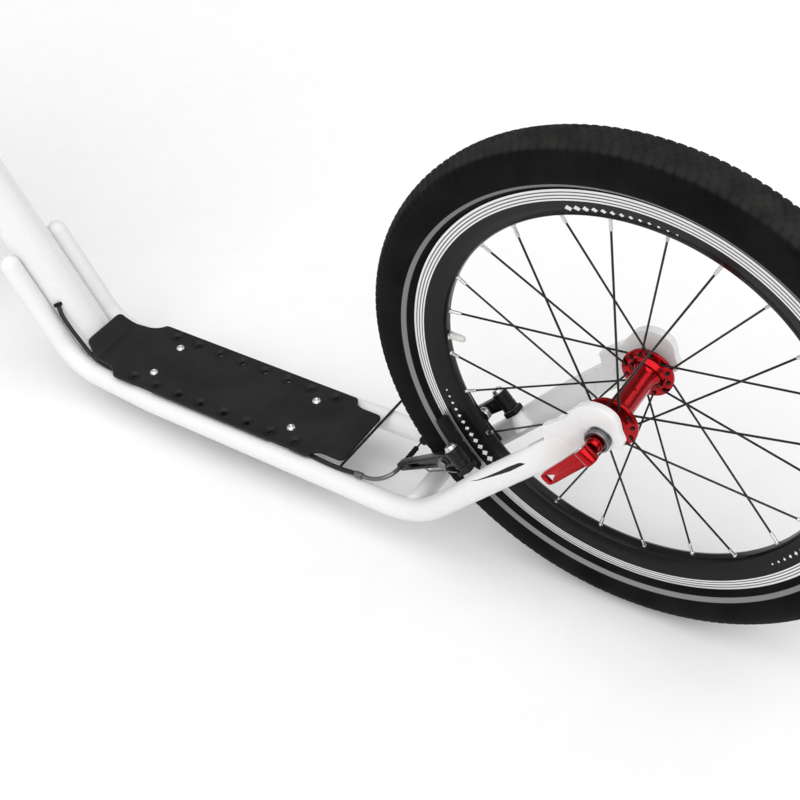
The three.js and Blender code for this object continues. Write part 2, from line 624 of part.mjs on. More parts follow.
// The main tube from the front of the footboard up to the head tube, where it is cut to fit.
function mainTube() {
  const front = THREE.MathUtils.degToRad(sideTube.frontAngle);
  const along = new THREE.Vector3(Math.cos(front), 0, Math.sin(front));
  const corner = new THREE.Vector3(frontCornerX, 0, sideTube.frontZ);
  const start = corner.clone().addScaledVector(along, downTube.lowerEnd - downTube.radius);
  const join = onSteering(0, 0, downTube.joinAlongHead);
  const curve = new THREE.QuadraticBezierCurve3(start, start.clone().addScaledVector(along, downTube.reach), join);
  const stations = curve.getPoints(downTube.steps).map((at, i) => {
    const radius = downTube.radius + (downTube.topRadius - downTube.radius) * (i / downTube.steps) ** 2;
    return { at, wide: radius, high: radius };
  });
  const lowEnd = onSteering(0, 0, headTube.from - downTube.radius);
  const headCutter = rod(lowEnd, onSteering(0, 0, headTube.to), boreFor(headTube.radius, mainTubeSides), mainTubeSides);
  const rimCutter = rod(lowEnd, onSteering(0, 0, headTube.from + headTube.rimLength + touchGap),
    boreFor(cup.radius, mainTubeSides), mainTubeSides);
  const lowHole = cableHole(new THREE.Vector3(...frameCableRoute[0]), new THREE.Vector3(...frameCableRoute[1]));
  const highHole = cableHole(onSteering(...loopRoute.at(-1)), onSteering(...loopRoute.at(-2)));
  return cut(sweep(stations, across, mainTubeSides), headCutter, rimCutter, lowHole, highHole);
}

// The cutter for a blind hole that the end of a cable sits in.
function cableHole(end, before) {
  const inwards = end.clone().sub(before).normalize();
  const bottom = end.clone().addScaledVector(inwards, touchGap);
  const mouth = end.clone().addScaledVector(inwards, -cable.holeDepth * 2);
  return rod(bottom, mouth, cable.holeRadius, smallSides);
}

// A point given in the steering's own directions, in the frame's: forward, left and up the steering axis.
function onSteering(forward, left, up) {
  return new THREE.Vector3(forward, left, up).applyAxisAngle(across, -headTilt).add(steerFoot);
}

// Head tube with its reinforced ends, about local Z.
function headTubeRing() {
  const { radius, bore, rimRadius, rimLength, from, to } = headTube;
  return turned([
    [bore, from], [rimRadius, from], [rimRadius, from + rimLength], [radius, from + rimLength],
    [radius, to - rimLength], [rimRadius, to - rimLength], [rimRadius, to], [bore, to],
  ], mainTubeSides, true).rotateX(Math.PI / 2);
}

// A headset cup pressed into one end of the head tube.
function headsetCup(face, outwards) {
  const foot = face + outwards * touchGap;
  const end = face + outwards * cup.height;
  return turned([
    [cup.bore, face - outwards * cup.skirt], [cup.skirtRadius, face - outwards * cup.skirt], [cup.skirtRadius, foot],
    [cup.radius, foot], [cup.radius, end - outwards * cup.chamfer], [cup.radius - cup.chamfer, end], [cup.bore, end],
  ], mainTubeSides, true).rotateX(Math.PI / 2);
}

// Footboard

// Where the board's crease is, and the wide part between its nose and its tail.
function boardPlaces() {
  const crease = frontCornerX - board.creaseGap;
  const wideFrom = board.rearEnd + board.rearLength;
  const wideTo = crease - board.noseLength;
  const along = (share) => wideFrom + (wideTo - wideFrom) * share;
  return { crease, wideFrom, wideTo, along };
}

function boardOutline() {
  const { halfWidth, rearEnd, rearHalf, rearNotch, frontNotch, creaseHalf } = board;
  const { crease, wideFrom, wideTo, along } = boardPlaces();
  const round = board.cornerRound;
  const shape = new THREE.Shape();
  shape.moveTo(crease, -creaseHalf);
  shape.lineTo(crease, creaseHalf);
  shape.lineTo(wideTo + frontNotch, creaseHalf + round / 2);
  shape.quadraticCurveTo(wideTo + round, creaseHalf + round, wideTo, halfWidth);
  shape.lineTo(wideFrom, halfWidth);
  shape.quadraticCurveTo(wideFrom, rearHalf, wideFrom - rearNotch, rearHalf);
  shape.lineTo(rearEnd + round, rearHalf);
  shape.quadraticCurveTo(rearEnd, rearHalf, rearEnd, rearHalf - round);
  shape.lineTo(rearEnd, round - rearHalf);
  shape.quadraticCurveTo(rearEnd, -rearHalf, rearEnd + round, -rearHalf);
  shape.lineTo(wideFrom - rearNotch, -rearHalf);
  shape.quadraticCurveTo(wideFrom, -rearHalf, wideFrom, -halfWidth);
  shape.lineTo(wideTo, -halfWidth);
  shape.quadraticCurveTo(wideTo + round, -creaseHalf - round, wideTo + frontNotch, -creaseHalf - round / 2);
  const holes = [];
  const [first, last] = dimpleShares;
  for (let i = 0; i < dimple.count; i++) {
    const x = along(first + (last - first) * i / (dimple.count - 1));
    holes.push([x, dimple.row, dimple.holeRadius], [x, -dimple.row, dimple.holeRadius]);
  }
  for (const [x, y] of screwPlaces()) holes.push([x, y, boreFor(screw.radius, smallSides)]);
  for (const [x, y, radius] of holes) {
    const hole = new THREE.Path();
    hole.absarc(x, y, radius, 0, fullTurn);
    shape.holes.push(hole);
  }
  return shape;
}

function screwPlaces() {
  const { along } = boardPlaces();
  return screwShares.flatMap((share) => [[along(share), screw.apart], [along(share), -screw.apart]]);
}

// The bent-up front of the board, drawn flat from the crease and then turned up.
function boardFlap() {
  const { creaseHalf, flapHalf, flapLength, flapRound, thickness } = board;
  const shape = new THREE.Shape();
  shape.moveTo(0, -creaseHalf);
  shape.lineTo(flapLength - flapRound, -flapHalf);
  shape.quadraticCurveTo(flapLength, -flapHalf, flapLength, flapRound - flapHalf);
  shape.lineTo(flapLength, flapHalf - flapRound);
  shape.quadraticCurveTo(flapLength, flapHalf, flapLength - flapRound, flapHalf);
  shape.lineTo(0, creaseHalf);
  return new THREE.ExtrudeGeometry(shape, { depth: thickness, bevelEnabled: false, curveSegments: curveSteps })
    .rotateY(THREE.MathUtils.degToRad(-board.flapAngle))
    .translate(boardPlaces().crease, 0, board.top - thickness);
}

function footboard() {
  const plate = new THREE.ExtrudeGeometry(boardOutline(),
    { depth: board.thickness, bevelEnabled: false, curveSegments: curveSteps });
  return joined(plate.translate(0, 0, board.top - board.thickness), boardFlap());
}

// A plate across the side members that the board is screwed to, under one pair of its screws.
function boardCarrier(share) {
  const x = boardPlaces().along(share);
  const top = board.top - board.thickness - touchGap;
  const plate = new THREE.BoxGeometry(crossPlate.length, 2 * crossPlate.halfWidth, crossPlate.thickness)
    .translate(x, 0, top - crossPlate.thickness / 2);
  const holes = [1, -1].map((side) => {
    const low = new THREE.Vector3(x, side * screw.apart, top - crossPlate.thickness - cutOver);
    return rod(low, low.clone().setZ(top + cutOver), boreFor(screw.radius, smallSides), smallSides);
  });
  return cut(plate, ...holes);
}

// A screw with a low round head, about local Y with its head's seat at y = 0.
function boardScrew() {
  const { radius, headRadius, headHeight, length } = screw;
  return turned([[0, -length], [radius, -length], [radius, 0], [headRadius, 0], [headRadius, headHeight / 2],
    [headRadius / 2, headHeight], [0, headHeight]], smallSides).rotateX(Math.PI / 2);
}

// Steering. Everything here is about local Z, the steering axis, with local X forward.

function forkBody() {
  const crownLow = new THREE.Vector3(0, 0, fork.crownFrom);
  const crownTop = new THREE.Vector3(0, 0, fork.crownTo);
  const steererTop = new THREE.Vector3(0, 0, fork.steererTo);
  const shoulders = sweep([
    { at: crownLow.clone().setY(-fork.legTopY), wide: fork.legRadius, high: fork.legRadius },
    { at: new THREE.Vector3(0, -fork.shoulder, fork.crownFrom + fork.legRadius), wide: fork.legRadius,
      high: fork.legRadius },
    { at: new THREE.Vector3(0, fork.shoulder, fork.crownFrom + fork.legRadius), wide: fork.legRadius,
      high: fork.legRadius },
    { at: crownLow.clone().setY(fork.legTopY), wide: fork.legRadius, high: fork.legRadius },
  ], ahead);
  const parts = [rod(crownLow, crownTop, fork.crownRadius, mainTubeSides),
    rod(crownLow, steererTop, fork.steererRadius, mainTubeSides)];
  for (const side of [1, -1]) parts.push(...forkLeg(side));
  return joined(shoulders, ...parts);
}

// One fork leg, straight at first and curved forward to the axle, with its brake boss and dropout.
function forkLeg(side) {
  const top = new THREE.Vector3(0, side * fork.legTopY, fork.crownFrom);
  const bendY = fork.legTopY + (fork.legLowY - fork.legTopY) / 2;
  const bend = new THREE.Vector3(0, side * bendY, fork.legBendAt);
  const foot = new THREE.Vector3(fork.legFootForward, side * fork.legLowY, fork.legFootUp);
  const path = bentPath([{ at: top }, { at: bend, bend: fork.legBendRadius, steps: fork.bendSteps }, { at: foot }]);
  const last = path.length - 1;
  const leg = sweep(path.map((at, i) => {
    const radius = fork.legRadius + (fork.legEndRadius - fork.legRadius) * i / last;
    return { at, wide: radius, high: radius };
  }), across);
  const axis = ahead.clone();
  const bossFoot = new THREE.Vector3(frontBrake.forward - frontBrake.bossDepth, side * brake.pivotY, frontBrake.up);
  const plate = dropoutPlate(frontDropoutOutline, frontSlotAngle, side);
  return [leg, ...brakeBoss(bossFoot, axis, frontBrake.bossDepth), plate.translate(forkRake, 0, 0)];
}

function stemBody() {
  const low = new THREE.Vector3(0, 0, stem.clampFrom);
  const high = new THREE.Vector3(0, 0, stem.clampTo);
  const middle = new THREE.Vector3(0, 0, stem.extensionFrom);
  const barCentre = new THREE.Vector3(stem.reach, 0, stem.barAlong);
  const clampEnd = barCentre.clone().setY(stem.barClampHalf);
  const body = joined(rod(low, high, stem.radius, mainTubeSides), rod(middle, barCentre, stem.extensionRadius),
    rod(clampEnd.clone().setY(-stem.barClampHalf), clampEnd, stem.barClampRadius, mainTubeSides));
  const over = (point, y) => point.clone().setY(y);
  return cut(body,
    rod(low.clone().setZ(stem.clampFrom - cutOver), high.clone().setZ(stem.clampTo + cutOver),
      boreFor(fork.steererRadius, mainTubeSides), mainTubeSides),
    rod(over(barCentre, -stem.barClampHalf - cutOver), over(barCentre, stem.barClampHalf + cutOver),
      boreFor(bar.radius)));
}

function steeringCap() {
  const face = stem.clampTo + touchGap;
  const { radius, height, boltRadius, boltHeight, plugRadius } = topCap;
  const plug = fork.steererTo + touchGap;
  return turned([[0, plug], [plugRadius, plug], [plugRadius, face], [radius, face], [radius, face + height / 2],
    [radius - height / 2, face + height], [boltRadius, face + height], [boltRadius, face + height + boltHeight],
    [0, face + height + boltHeight]], mainTubeSides).rotateX(Math.PI / 2);
}

// Corner points of the handlebar from its middle out to one end.
function barCorners(side) {
  const at = (forward, y, up) => new THREE.Vector3(stem.reach + forward, side * y, stem.barAlong + up);
  return [
    at(0, 0, 0),
    at(0, bar.centreHalf, 0),
    at(-bar.riseBack, bar.riseY, bar.riseHeight),
    at(-bar.riseBack - bar.sweepBack, bar.halfSpan, bar.riseHeight + bar.tipDrop),
  ];
}

function handlebar() {
  const [, lowRight, highRight, endRight] = barCorners(-1);
  const [, lowLeft, highLeft, endLeft] = barCorners(1);
  const low = { bend: bar.lowBend, steps: bar.bendSteps };
  const high = { bend: bar.highBend, steps: bar.bendSteps };
  const path = bentPath([{ at: endRight }, { at: highRight, ...high }, { at: lowRight, ...low },
    { at: lowLeft, ...low }, { at: highLeft, ...high }, { at: endLeft }]);
  return roundTube(path, bar.radius, ahead, rodSides);
}

// A frame on one end of the bar: origin on the bar at the given distance out, local Y outwards along it.
function barEndFrame(side, y) {
  const [, , high, end] = barCorners(side);
  const outwards = end.clone().sub(high).normalize();
  const at = high.clone().addScaledVector(outwards, (y - bar.riseY) / Math.abs(outwards.y));
  const pitch = THREE.MathUtils.degToRad(bracket.pitch);
  const fore = new THREE.Vector3(Math.cos(pitch), 0, -Math.sin(pitch));
  fore.addScaledVector(outwards, -fore.dot(outwards)).normalize();
  const third = new THREE.Vector3().crossVectors(fore, outwards);
  const group = frameAt(at.x, at.y, at.z);
  group.quaternion.setFromRotationMatrix(new THREE.Matrix4().makeBasis(fore, outwards, third));
  return group;
}

function gripSleeve() {
  const length = bar.halfSpan - grip.start + grip.slack;
  const inner = boreFor(bar.radius);
  return turned([[inner, 0], [grip.lipRadius, 0], [grip.lipRadius, grip.lipWidth], [grip.radius, grip.lipWidth * 2],
    [grip.radius, length / 2], [grip.endRadius, length], [grip.endRadius, length + grip.wall],
    [0, length + grip.wall], [0, length + touchGap], [inner, length + touchGap]], rodSides, true);
}

// The clamp and housing that carry a brake lever: local X forward, local Y out along the bar.
function leverBracket() {
  const { half, radius, pivotReach, barrelReach, barrelLength } = bracket;
  const { pivotHalf, pivotRadius, forkHalf } = brakeLever;
  const ring = rod(new THREE.Vector3(0, -half, 0), new THREE.Vector3(0, half, 0), radius, mainTubeSides);
  const body = new THREE.BoxGeometry(pivotReach, 2 * half, 2 * forkHalf).translate(pivotReach / 2, 0, 0);
  const eye = rod(new THREE.Vector3(pivotReach, 0, -forkHalf), new THREE.Vector3(pivotReach, 0, forkHalf), half);
  const barrel = rod(new THREE.Vector3(barrelReach, 0, 0), new THREE.Vector3(barrelReach, -barrelLength, 0),
    half, smallSides, cable.radius + touchGap);
  const bore = rod(new THREE.Vector3(0, -half - cutOver, 0), new THREE.Vector3(0, half + cutOver, 0),
    boreFor(bar.radius));
  const slotHalf = pivotHalf + runGap;
  const clear = pivotRadius + runGap;
  const slot = new THREE.BoxGeometry(2 * clear, 2 * half + 2 * cutOver, 2 * slotHalf)
    .translate(pivotReach + clear - pivotRadius, half, 0);
  const slotRound = rod(new THREE.Vector3(pivotReach, 0, -slotHalf), new THREE.Vector3(pivotReach, 0, slotHalf),
    clear + runGap, smallSides);
  const pin = rod(new THREE.Vector3(pivotReach, 0, -forkHalf + touchGap),
    new THREE.Vector3(pivotReach, 0, forkHalf - touchGap), pivotRadius / 3, smallSides);
  return joined(cut(joined(ring, body, eye, barrel), bore, slot, slotRound), pin);
}

// The blade that the fingers pull, turning about local Z on the bracket's pin.
function leverBlade() {
  const { pivotHalf, pivotRadius, bladeHalf, bladeThick, tipRadius } = brakeLever;
  const stations = leverStations.map(({ out, fore, share }) => (
    { at: new THREE.Vector3(fore, out, 0), wide: bladeThick, high: bladeHalf * share }));
  const blade = sweep(stations, ahead, smallSides);
  const eye = rod(new THREE.Vector3(0, 0, -pivotHalf), new THREE.Vector3(0, 0, pivotHalf), pivotRadius, rodSides);
  const tip = new THREE.SphereGeometry(tipRadius, smallSides, smallSides / 2)
    .translate(stations.at(-1).at.x, stations.at(-1).at.y, 0);
  const over = pivotHalf + cutOver;
  const bore = rod(new THREE.Vector3(0, 0, -over), new THREE.Vector3(0, 0, over), pivotRadius / 3 + runGap, smallSides);
  return cut(joined(blade, eye, tip), bore);
}

// Brakes. Local X is the pins' direction, local Z points away from the axle, and y = 0 is the wheel's middle.

// The bar from the pin up to the cable, leaning inwards, with its long slot.
function armBody(side) {
  const lean = Math.atan2(brake.pivotY - brake.tipY, brake.armLength);
  const { armHalfLow, armHalfTop, armLength, armThick, slotFrom, slotTo, slotHalf } = brake;
  const outline = new THREE.Shape();
  outline.moveTo(-armHalfLow, 0);
  outline.lineTo(armHalfLow, 0);
  outline.lineTo(armHalfTop, armLength + armHalfTop);
  outline.lineTo(-armHalfTop, armLength + armHalfTop);
  const slot = new THREE.Path();
  slot.moveTo(-slotHalf, slotFrom);
  slot.lineTo(-slotHalf, slotTo);
  slot.lineTo(slotHalf, slotTo);
  slot.lineTo(slotHalf, slotFrom);
  outline.holes.push(slot);
  const body = new THREE.ExtrudeGeometry(outline, { depth: armThick, bevelEnabled: false })
    .rotateX(Math.PI / 2).rotateZ(Math.PI / 2).translate(-armThick / 2, 0, 0).rotateX(side * lean);
  const barrel = rod(new THREE.Vector3(-brake.barrelHalf, 0, 0), new THREE.Vector3(brake.barrelHalf, 0, 0),
    brake.barrelRadius);
  const bore = rod(new THREE.Vector3(-brake.barrelHalf - cutOver, 0, 0),
    new THREE.Vector3(brake.barrelHalf + cutOver, 0, 0), boreFor(brake.pinRadius, smallSides), smallSides);
  const crosswise = (z, radius) => rod(new THREE.Vector3(0, -brake.pivotY, z), new THREE.Vector3(0, brake.pivotY, z),
    radius, smallSides);
  return cut(joined(body, barrel), bore, crosswise(brake.padUp, boreFor(pad.postRadius, smallSides)),
    crosswise(brake.armLength, boreFor(noodle.radius, smallSides)));
}

// A pad curved along the brake track, with its post, washer and nut through the arm.
// It is drawn about the brake's middle and then moved to the arm's pin.
function brakePad(side, wheelX, wheelZ, trackRadius) {
  const centre = Math.atan2(-wheelZ, -wheelX);
  const sweepHalf = THREE.MathUtils.degToRad(pad.sweep) * (rearBeadRadius / trackRadius);
  const outline = new THREE.Shape();
  const arcPoint = (radius, k) => {
    const turn = centre + sweepHalf * (2 * k / pad.steps - 1);
    return new THREE.Vector2(wheelX + radius * Math.cos(turn), wheelZ + radius * Math.sin(turn));
  };
  const steps = Array.from({ length: pad.steps + 1 }, (_, k) => k);
  outline.setFromPoints([...steps.map((k) => arcPoint(trackRadius - pad.half, k)),
    ...steps.reverse().map((k) => arcPoint(trackRadius + pad.half, k))]);
  const face = rim.halfWidth + pad.clear;
  const back = face + pad.thickness;
  const block = plateAlongY(outline, side > 0 ? face : -back, pad.thickness);
  const armFace = brake.pivotY - (brake.pivotY - brake.tipY) * brake.padUp / brake.armLength;
  const lean = (brake.pivotY - brake.tipY) / brake.armLength;
  const armHalf = brake.armHalfLow * (1 + lean * lean) + pad.washerRadius * lean + touchGap;
  const at = (y) => new THREE.Vector3(0, side * y, brake.padUp);
  return joined(block,
    rod(at(back - touchGap), at(armFace - armHalf), pad.washerRadius, smallSides),
    rod(at(back), at(armFace + armHalf + pad.nutHeight / 2), pad.postRadius, smallSides),
    rod(at(armFace + armHalf), at(armFace + armHalf + pad.nutHeight), pad.nutRadius, smallSides))
    .translate(0, -side * brake.pivotY, 0);
}

// The bent pipe that turns the cable in to the arm, with the ferrule at its end.
function noodlePipe() {
  const pipe = cord(noodleRoute, noodle.radius, noodle.steps);
  const end = new THREE.Vector3(...noodleRoute.at(-1));
  const back = new THREE.Vector3(...noodleRoute.at(-2)).sub(end).normalize();
  return joined(pipe, rod(end, end.clone().addScaledVector(back, noodle.ferruleLength), noodle.ferruleRadius,
    smallSides)).translate(0, brake.pivotY, brake.armLength);
}

// The ribbed rubber boot with the wire in it, which closes up between the arms when the brake is pulled.
function cableBoot() {
  const start = noodleRoute[0][1] + touchGap;
  const wireEnd = -start + brake.armHalfTop / 2;
  const pitch = boot.length / boot.ribs;
  const outline = [[0, start]];
  for (let k = 0; k < boot.ribs; k++) {
    outline.push([boot.radius - boot.ribDepth, start + k * pitch], [boot.radius, start + (k + 0.5) * pitch]);
  }
  outline.push([boot.radius - boot.ribDepth, start + boot.length], [boot.wireRadius, start + boot.length],
    [boot.wireRadius, wireEnd], [0, wireEnd]);
  return turned(outline, smallSides).translate(0, brake.pivotY, brake.armLength);
}

// One brake about its pivots' middle. On both brakes local -Y carries the noodle.
function addBrake(middle, end, names, wheelX, wheelZ, beadRadius) {
  const track = beadRadius + rim.flangeHeight - rim.brakeTrack / 2;
  for (const side of [1, -1]) {
    const label = end + '_' + (side > 0 ? names[0] : names[1]);
    const pivot = frameAt(0, side * brake.pivotY, 0);
    pivot.name = label + '_arm_pivot';
    pivot.add(piece(label + '_brake_arm', armBody(side), blackGloss));
    pivot.add(piece(label + '_brake_pad', brakePad(side, wheelX, wheelZ, track), blackRubber));
    if (side < 0) {
      pivot.add(piece(end + '_noodle', noodlePipe(), steel));
      pivot.add(piece(end + '_cable_boot', cableBoot(), blackRubber));
    }
    middle.add(pivot);
  }
}

// Assembly

function addFrame(root) {
  for (const [side, label] of [[1, 'left'], [-1, 'right']]) {
    root.add(piece(label + '_side_tube', sideMember(side), white));
    const plate = dropoutPlate(rearDropoutOutline, rearSlotAngle, side);
    root.add(piece(label + '_dropout', plate.translate(0, 0, rearRadius), white));
  }
  root.add(piece('rear_bridge', rearBridge(), white));
  root.add(piece('down_tube', mainTube(), white));
  root.add(piece('rear_board_carrier', boardCarrier(screwShares[0]), white));
  root.add(piece('front_board_carrier', boardCarrier(screwShares[1]), white));
  root.add(piece('footboard', footboard(), blackSatin));
  screwPlaces().forEach(([x, y], i) => {
    const screwMesh = piece('board_screw_' + (i + 1), boardScrew(), steel);
    screwMesh.position.set(x, y, board.top + touchGap);
    root.add(screwMesh);
  });
  root.add(piece('rear_brake_cable', cord(frameCableRoute, cable.radius, cable.frameSteps), blackRubber));
  const head = steeringFrame();
  head.add(piece('head_tube', headTubeRing(), white));
  head.add(piece('lower_headset_cup', headsetCup(headTube.from, -1), blackSatin));
  head.add(piece('upper_headset_cup', headsetCup(headTube.to, 1), blackSatin));
  root.add(head);
}

function steeringFrame() {
  const group = frameAt(steerFoot.x, steerFoot.y, steerFoot.z);
  group.rotation.y = -headTilt;
  return group;
}

function addRearEnd(root) {
  const holder = frameAt(0, 0, rearRadius);
  const spin = new THREE.Group();
  spin.name = 'rear_wheel_pivot';
  holder.add(spin);
  addWheel(holder, spin, 'rear', rearBeadRadius, rearQuickAngle);
  root.add(holder);
  const pivot = rearPivot();
  const middle = frameAt(pivot.at.x, 0, pivot.at.z);
  const outwards = new THREE.Vector3(pivot.axis.z, 0, -pivot.axis.x);
  const left = new THREE.Vector3().crossVectors(outwards, pivot.axis);
  middle.quaternion.setFromRotationMatrix(new THREE.Matrix4().makeBasis(pivot.axis, left, outwards));
  const toWheel = new THREE.Vector3(0, 0, rearRadius).sub(pivot.at);
  addBrake(middle, 'rear', ['right', 'left'], toWheel.dot(pivot.axis), toWheel.dot(outwards), rearBeadRadius);
  root.add(middle);
}

function addSteering(root) {
  const steering = steeringFrame();
  steering.name = 'steering_pivot';
  steering.add(piece('fork', forkBody(), white));
  steering.add(piece('stem', stemBody(), blackSatin));
  steering.add(piece('headset_cap', steeringCap(), blackSatin));
  steering.add(piece('handlebar', handlebar(), blackSatin));
  for (const [side, label] of [[1, 'left'], [-1, 'right']]) {
    const gripFrame = barEndFrame(side, grip.start);
    gripFrame.add(piece(label + '_grip', gripSleeve(), blackRubber));
    const leverFrame = barEndFrame(side, bracket.y);
    leverFrame.add(piece(label + '_lever_bracket', leverBracket(), blackSatin));
    const pivot = frameAt(bracket.pivotReach, 0, 0);
    pivot.name = label + '_lever_pivot';
    pivot.add(piece(label + '_brake_lever', leverBlade(), blackGloss));
    leverFrame.add(pivot);
    steering.add(gripFrame, leverFrame);
  }
  const holder = frameAt(forkRake, 0, 0);
  holder.rotation.y = headTilt;
  const spin = new THREE.Group();
  spin.name = 'front_wheel_pivot';
  holder.add(spin);
  addWheel(holder, spin, 'front', frontBeadRadius, frontQuickAngle);
  const middle = frameAt(frontBrake.forward, 0, frontBrake.up);
  addBrake(middle, 'front', ['left', 'right'], forkRake - frontBrake.forward, -frontBrake.up, frontBeadRadius);
  steering.add(holder, middle);
  steering.add(piece('front_brake_cable', cord(frontCableRoute, cable.radius, cable.frontSteps), blackRubber));
  steering.add(piece('rear_cable_loop', cord(loopRoute, cable.radius, cable.loopSteps), blackRubber));
  root.add(steering);
}

const kickBike = new THREE.Group();
addFrame(kickBike);
addRearEnd(kickBike);
addSteering(kickBike);
kickBike.position.x = -(wheelBase + frontRadius - rearRadius) / 2;

export default kickBike;
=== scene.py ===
# Looks of the kick bike: fine surfaces over the CAD frame, materials, floor, light and the photo's camera.
# Shapes are in millimetres as seen from the ground under the rear axle: x forward, y to the left, z up.
from math import atan2, cos, pi, radians, sin, tan

import bpy
import numpy as np
from mathutils import Matrix
from mathutils.geometry import tessellate_polygon


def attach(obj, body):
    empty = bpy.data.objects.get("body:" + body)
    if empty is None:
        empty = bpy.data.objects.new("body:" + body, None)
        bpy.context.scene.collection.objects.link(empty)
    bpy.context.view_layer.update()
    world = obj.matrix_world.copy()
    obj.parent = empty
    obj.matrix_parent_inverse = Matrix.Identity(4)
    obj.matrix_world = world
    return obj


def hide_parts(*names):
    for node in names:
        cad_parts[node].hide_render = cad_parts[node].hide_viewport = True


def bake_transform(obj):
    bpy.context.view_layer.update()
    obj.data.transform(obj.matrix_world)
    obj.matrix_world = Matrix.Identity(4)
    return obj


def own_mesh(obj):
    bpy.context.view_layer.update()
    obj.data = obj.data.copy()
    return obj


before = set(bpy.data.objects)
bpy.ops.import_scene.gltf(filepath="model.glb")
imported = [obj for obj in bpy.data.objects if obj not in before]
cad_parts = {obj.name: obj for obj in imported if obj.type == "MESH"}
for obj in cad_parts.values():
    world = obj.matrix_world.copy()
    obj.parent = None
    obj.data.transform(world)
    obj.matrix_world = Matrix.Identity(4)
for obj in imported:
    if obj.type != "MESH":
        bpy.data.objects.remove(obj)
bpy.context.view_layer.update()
print("frame loaded")

bike = {
    "wheelBase": 1250, "rearRadius": 254, "frontRadius": 330.5, "rearBead": 203, "frontBead": 279.5,
    "headAngle": 71, "rake": 45,
}
shift = (bike["wheelBase"] + bike["frontRadius"] - bike["rearRadius"]) / 2
tilt = radians(90 - bike["headAngle"])
# the point of the steering axis that is nearest to the front axle
foot = np.array([bike["wheelBase"] - bike["rake"] * cos(tilt), 0,
                 bike["frontRadius"] - bike["rake"] * sin(tilt)])
level = np.eye(3)
ahead, across, up = level
upright = np.array([ahead, up, -across])  # stands a turned part up
# the steering's own directions ahead, left and up
leaning = np.array([[cos(tilt), 0, sin(tilt)], [0, 1, 0], [-sin(tilt), 0, cos(tilt)]])
rearHub = np.array([0.0, 0, bike["rearRadius"]])
frontHub = np.array([float(bike["wheelBase"]), 0, bike["frontRadius"]])
pole = 0.001  # radius at which a turned part counts as closed


# Small helpers on arrays of points

def unit(v):
    v = np.asarray(v, float)
    return v / np.linalg.norm(v, axis=-1, keepdims=True)


# p = at + a * axes[0] + b * axes[1] + c * axes[2]
def placed(points, at=(0, 0, 0), axes=level):
    return np.asarray(points, float) @ np.asarray(axes, float) + np.asarray(at, float)


# a point of the steering, given ahead, left and up along its own axis
def onSteering(points):
    return placed(points, foot, leaning)


# the direction in the bike's middle plane at an angle above straight ahead
def direction(angle):
    return np.array([cos(radians(angle)), 0, sin(radians(angle))])


# the angles round a full turn in equal steps
def turnsOf(count):
    return np.arange(count) * 2 * pi / count


# v turned by an angle about an axis: v cos t + (a x v) sin t + a (a . v)(1 - cos t)
def spun(v, axis, angle):
    a = unit(axis)
    return v * cos(angle) + np.cross(a, v) * sin(angle) + a * (v @ a) * (1 - cos(angle))


# A smooth curve through given points, spaced by the square root of their distances:
# each span is p(t) = (2t^3 - 3t^2 + 1) p1 + (t^3 - 2t^2 + t) m1 + (3t^2 - 2t^3) p2 + (t^3 - t^2) m2
def curveThrough(points, count):
    p = np.asarray(points, float)
    p = np.vstack([2 * p[0] - p[1], p, 2 * p[-1] - p[-2]])
    gap = np.sqrt(np.linalg.norm(np.diff(p, axis=0), axis=1))
    spans = len(p) - 3
    u = np.linspace(0, spans, count)
    i = np.minimum(u.astype(int), spans - 1)
    t = (u - i)[:, None]
    g0, g1, g2 = gap[i][:, None], gap[i + 1][:, None], gap[i + 2][:, None]
    p0, p1, p2, p3 = p[i], p[i + 1], p[i + 2], p[i + 3]
    m1 = ((p1 - p0) / g0 - (p2 - p0) / (g0 + g1) + (p2 - p1) / g1) * g1
    m2 = ((p2 - p1) / g1 - (p3 - p1) / (g1 + g2) + (p3 - p2) / g2) * g1
    return ((2 * t**3 - 3 * t**2 + 1) * p1 + (t**3 - 2 * t**2 + t) * m1
            + (3 * t**2 - 2 * t**3) * p2 + (t**3 - t**2) * m2)


# A short curve from a towards b to c: q(t) = (1-t)^2 a + 2t(1-t) b + t^2 c, for t from 0 to last
def bezier(a, b, c, count=8, last=1.0):
    t = np.linspace(0, last, count)[:, None]
    return (1 - t) ** 2 * np.asarray(a) + 2 * t * (1 - t) * np.asarray(b) + t**2 * np.asarray(c)


# Each corner of an outline becomes such a short curve from a to b, which lie at the given reach along its
# two sides
def eased(points, reach, closed=True, steps=3):
    p = np.asarray(points, float)
    n = len(p)
    out = []
    for i in range(n):
        if not closed and i in (0, n - 1):
            out.append(p[i][None])
            continue
        back, on = p[i - 1] - p[i], p[(i + 1) % n] - p[i]
        a = p[i] + back * min(reach / np.linalg.norm(back), 0.45)
        b = p[i] + on * min(reach / np.linalg.norm(on), 0.45)
        out.append(bezier(a, p[i], b, steps + 1))
    return np.vstack(out)


# A path of straight runs with each inner corner turned on a circle of its bend radius
def bentPath(corners, bends, steps=10):
    p = [np.asarray(c, float) for c in corners]
    path = [p[0][None]]
    for i, bend in enumerate(bends, 1):
        back, on = unit(p[i - 1] - p[i]), unit(p[i + 1] - p[i])
        half = np.arccos(np.clip(back @ on, -1, 1)) / 2
        centre = p[i] + unit(back + on) * bend / sin(half)
        start = p[i] + back * bend / tan(half) - centre
        end = p[i] + on * bend / tan(half) - centre
        axis = np.cross(start, end)
        whole = np.arccos(np.clip(unit(start) @ unit(end), -1, 1))
        path.append(np.array([spun(start, axis, whole * k / steps) for k in range(steps + 1)]) + centre)
    path.append(p[-1][None])
    return np.vstack(path)


# how far along the path each of its points lies
def lengthsAlong(path):
    return np.concatenate([[0], np.cumsum(np.linalg.norm(np.diff(path, axis=0), axis=1))])


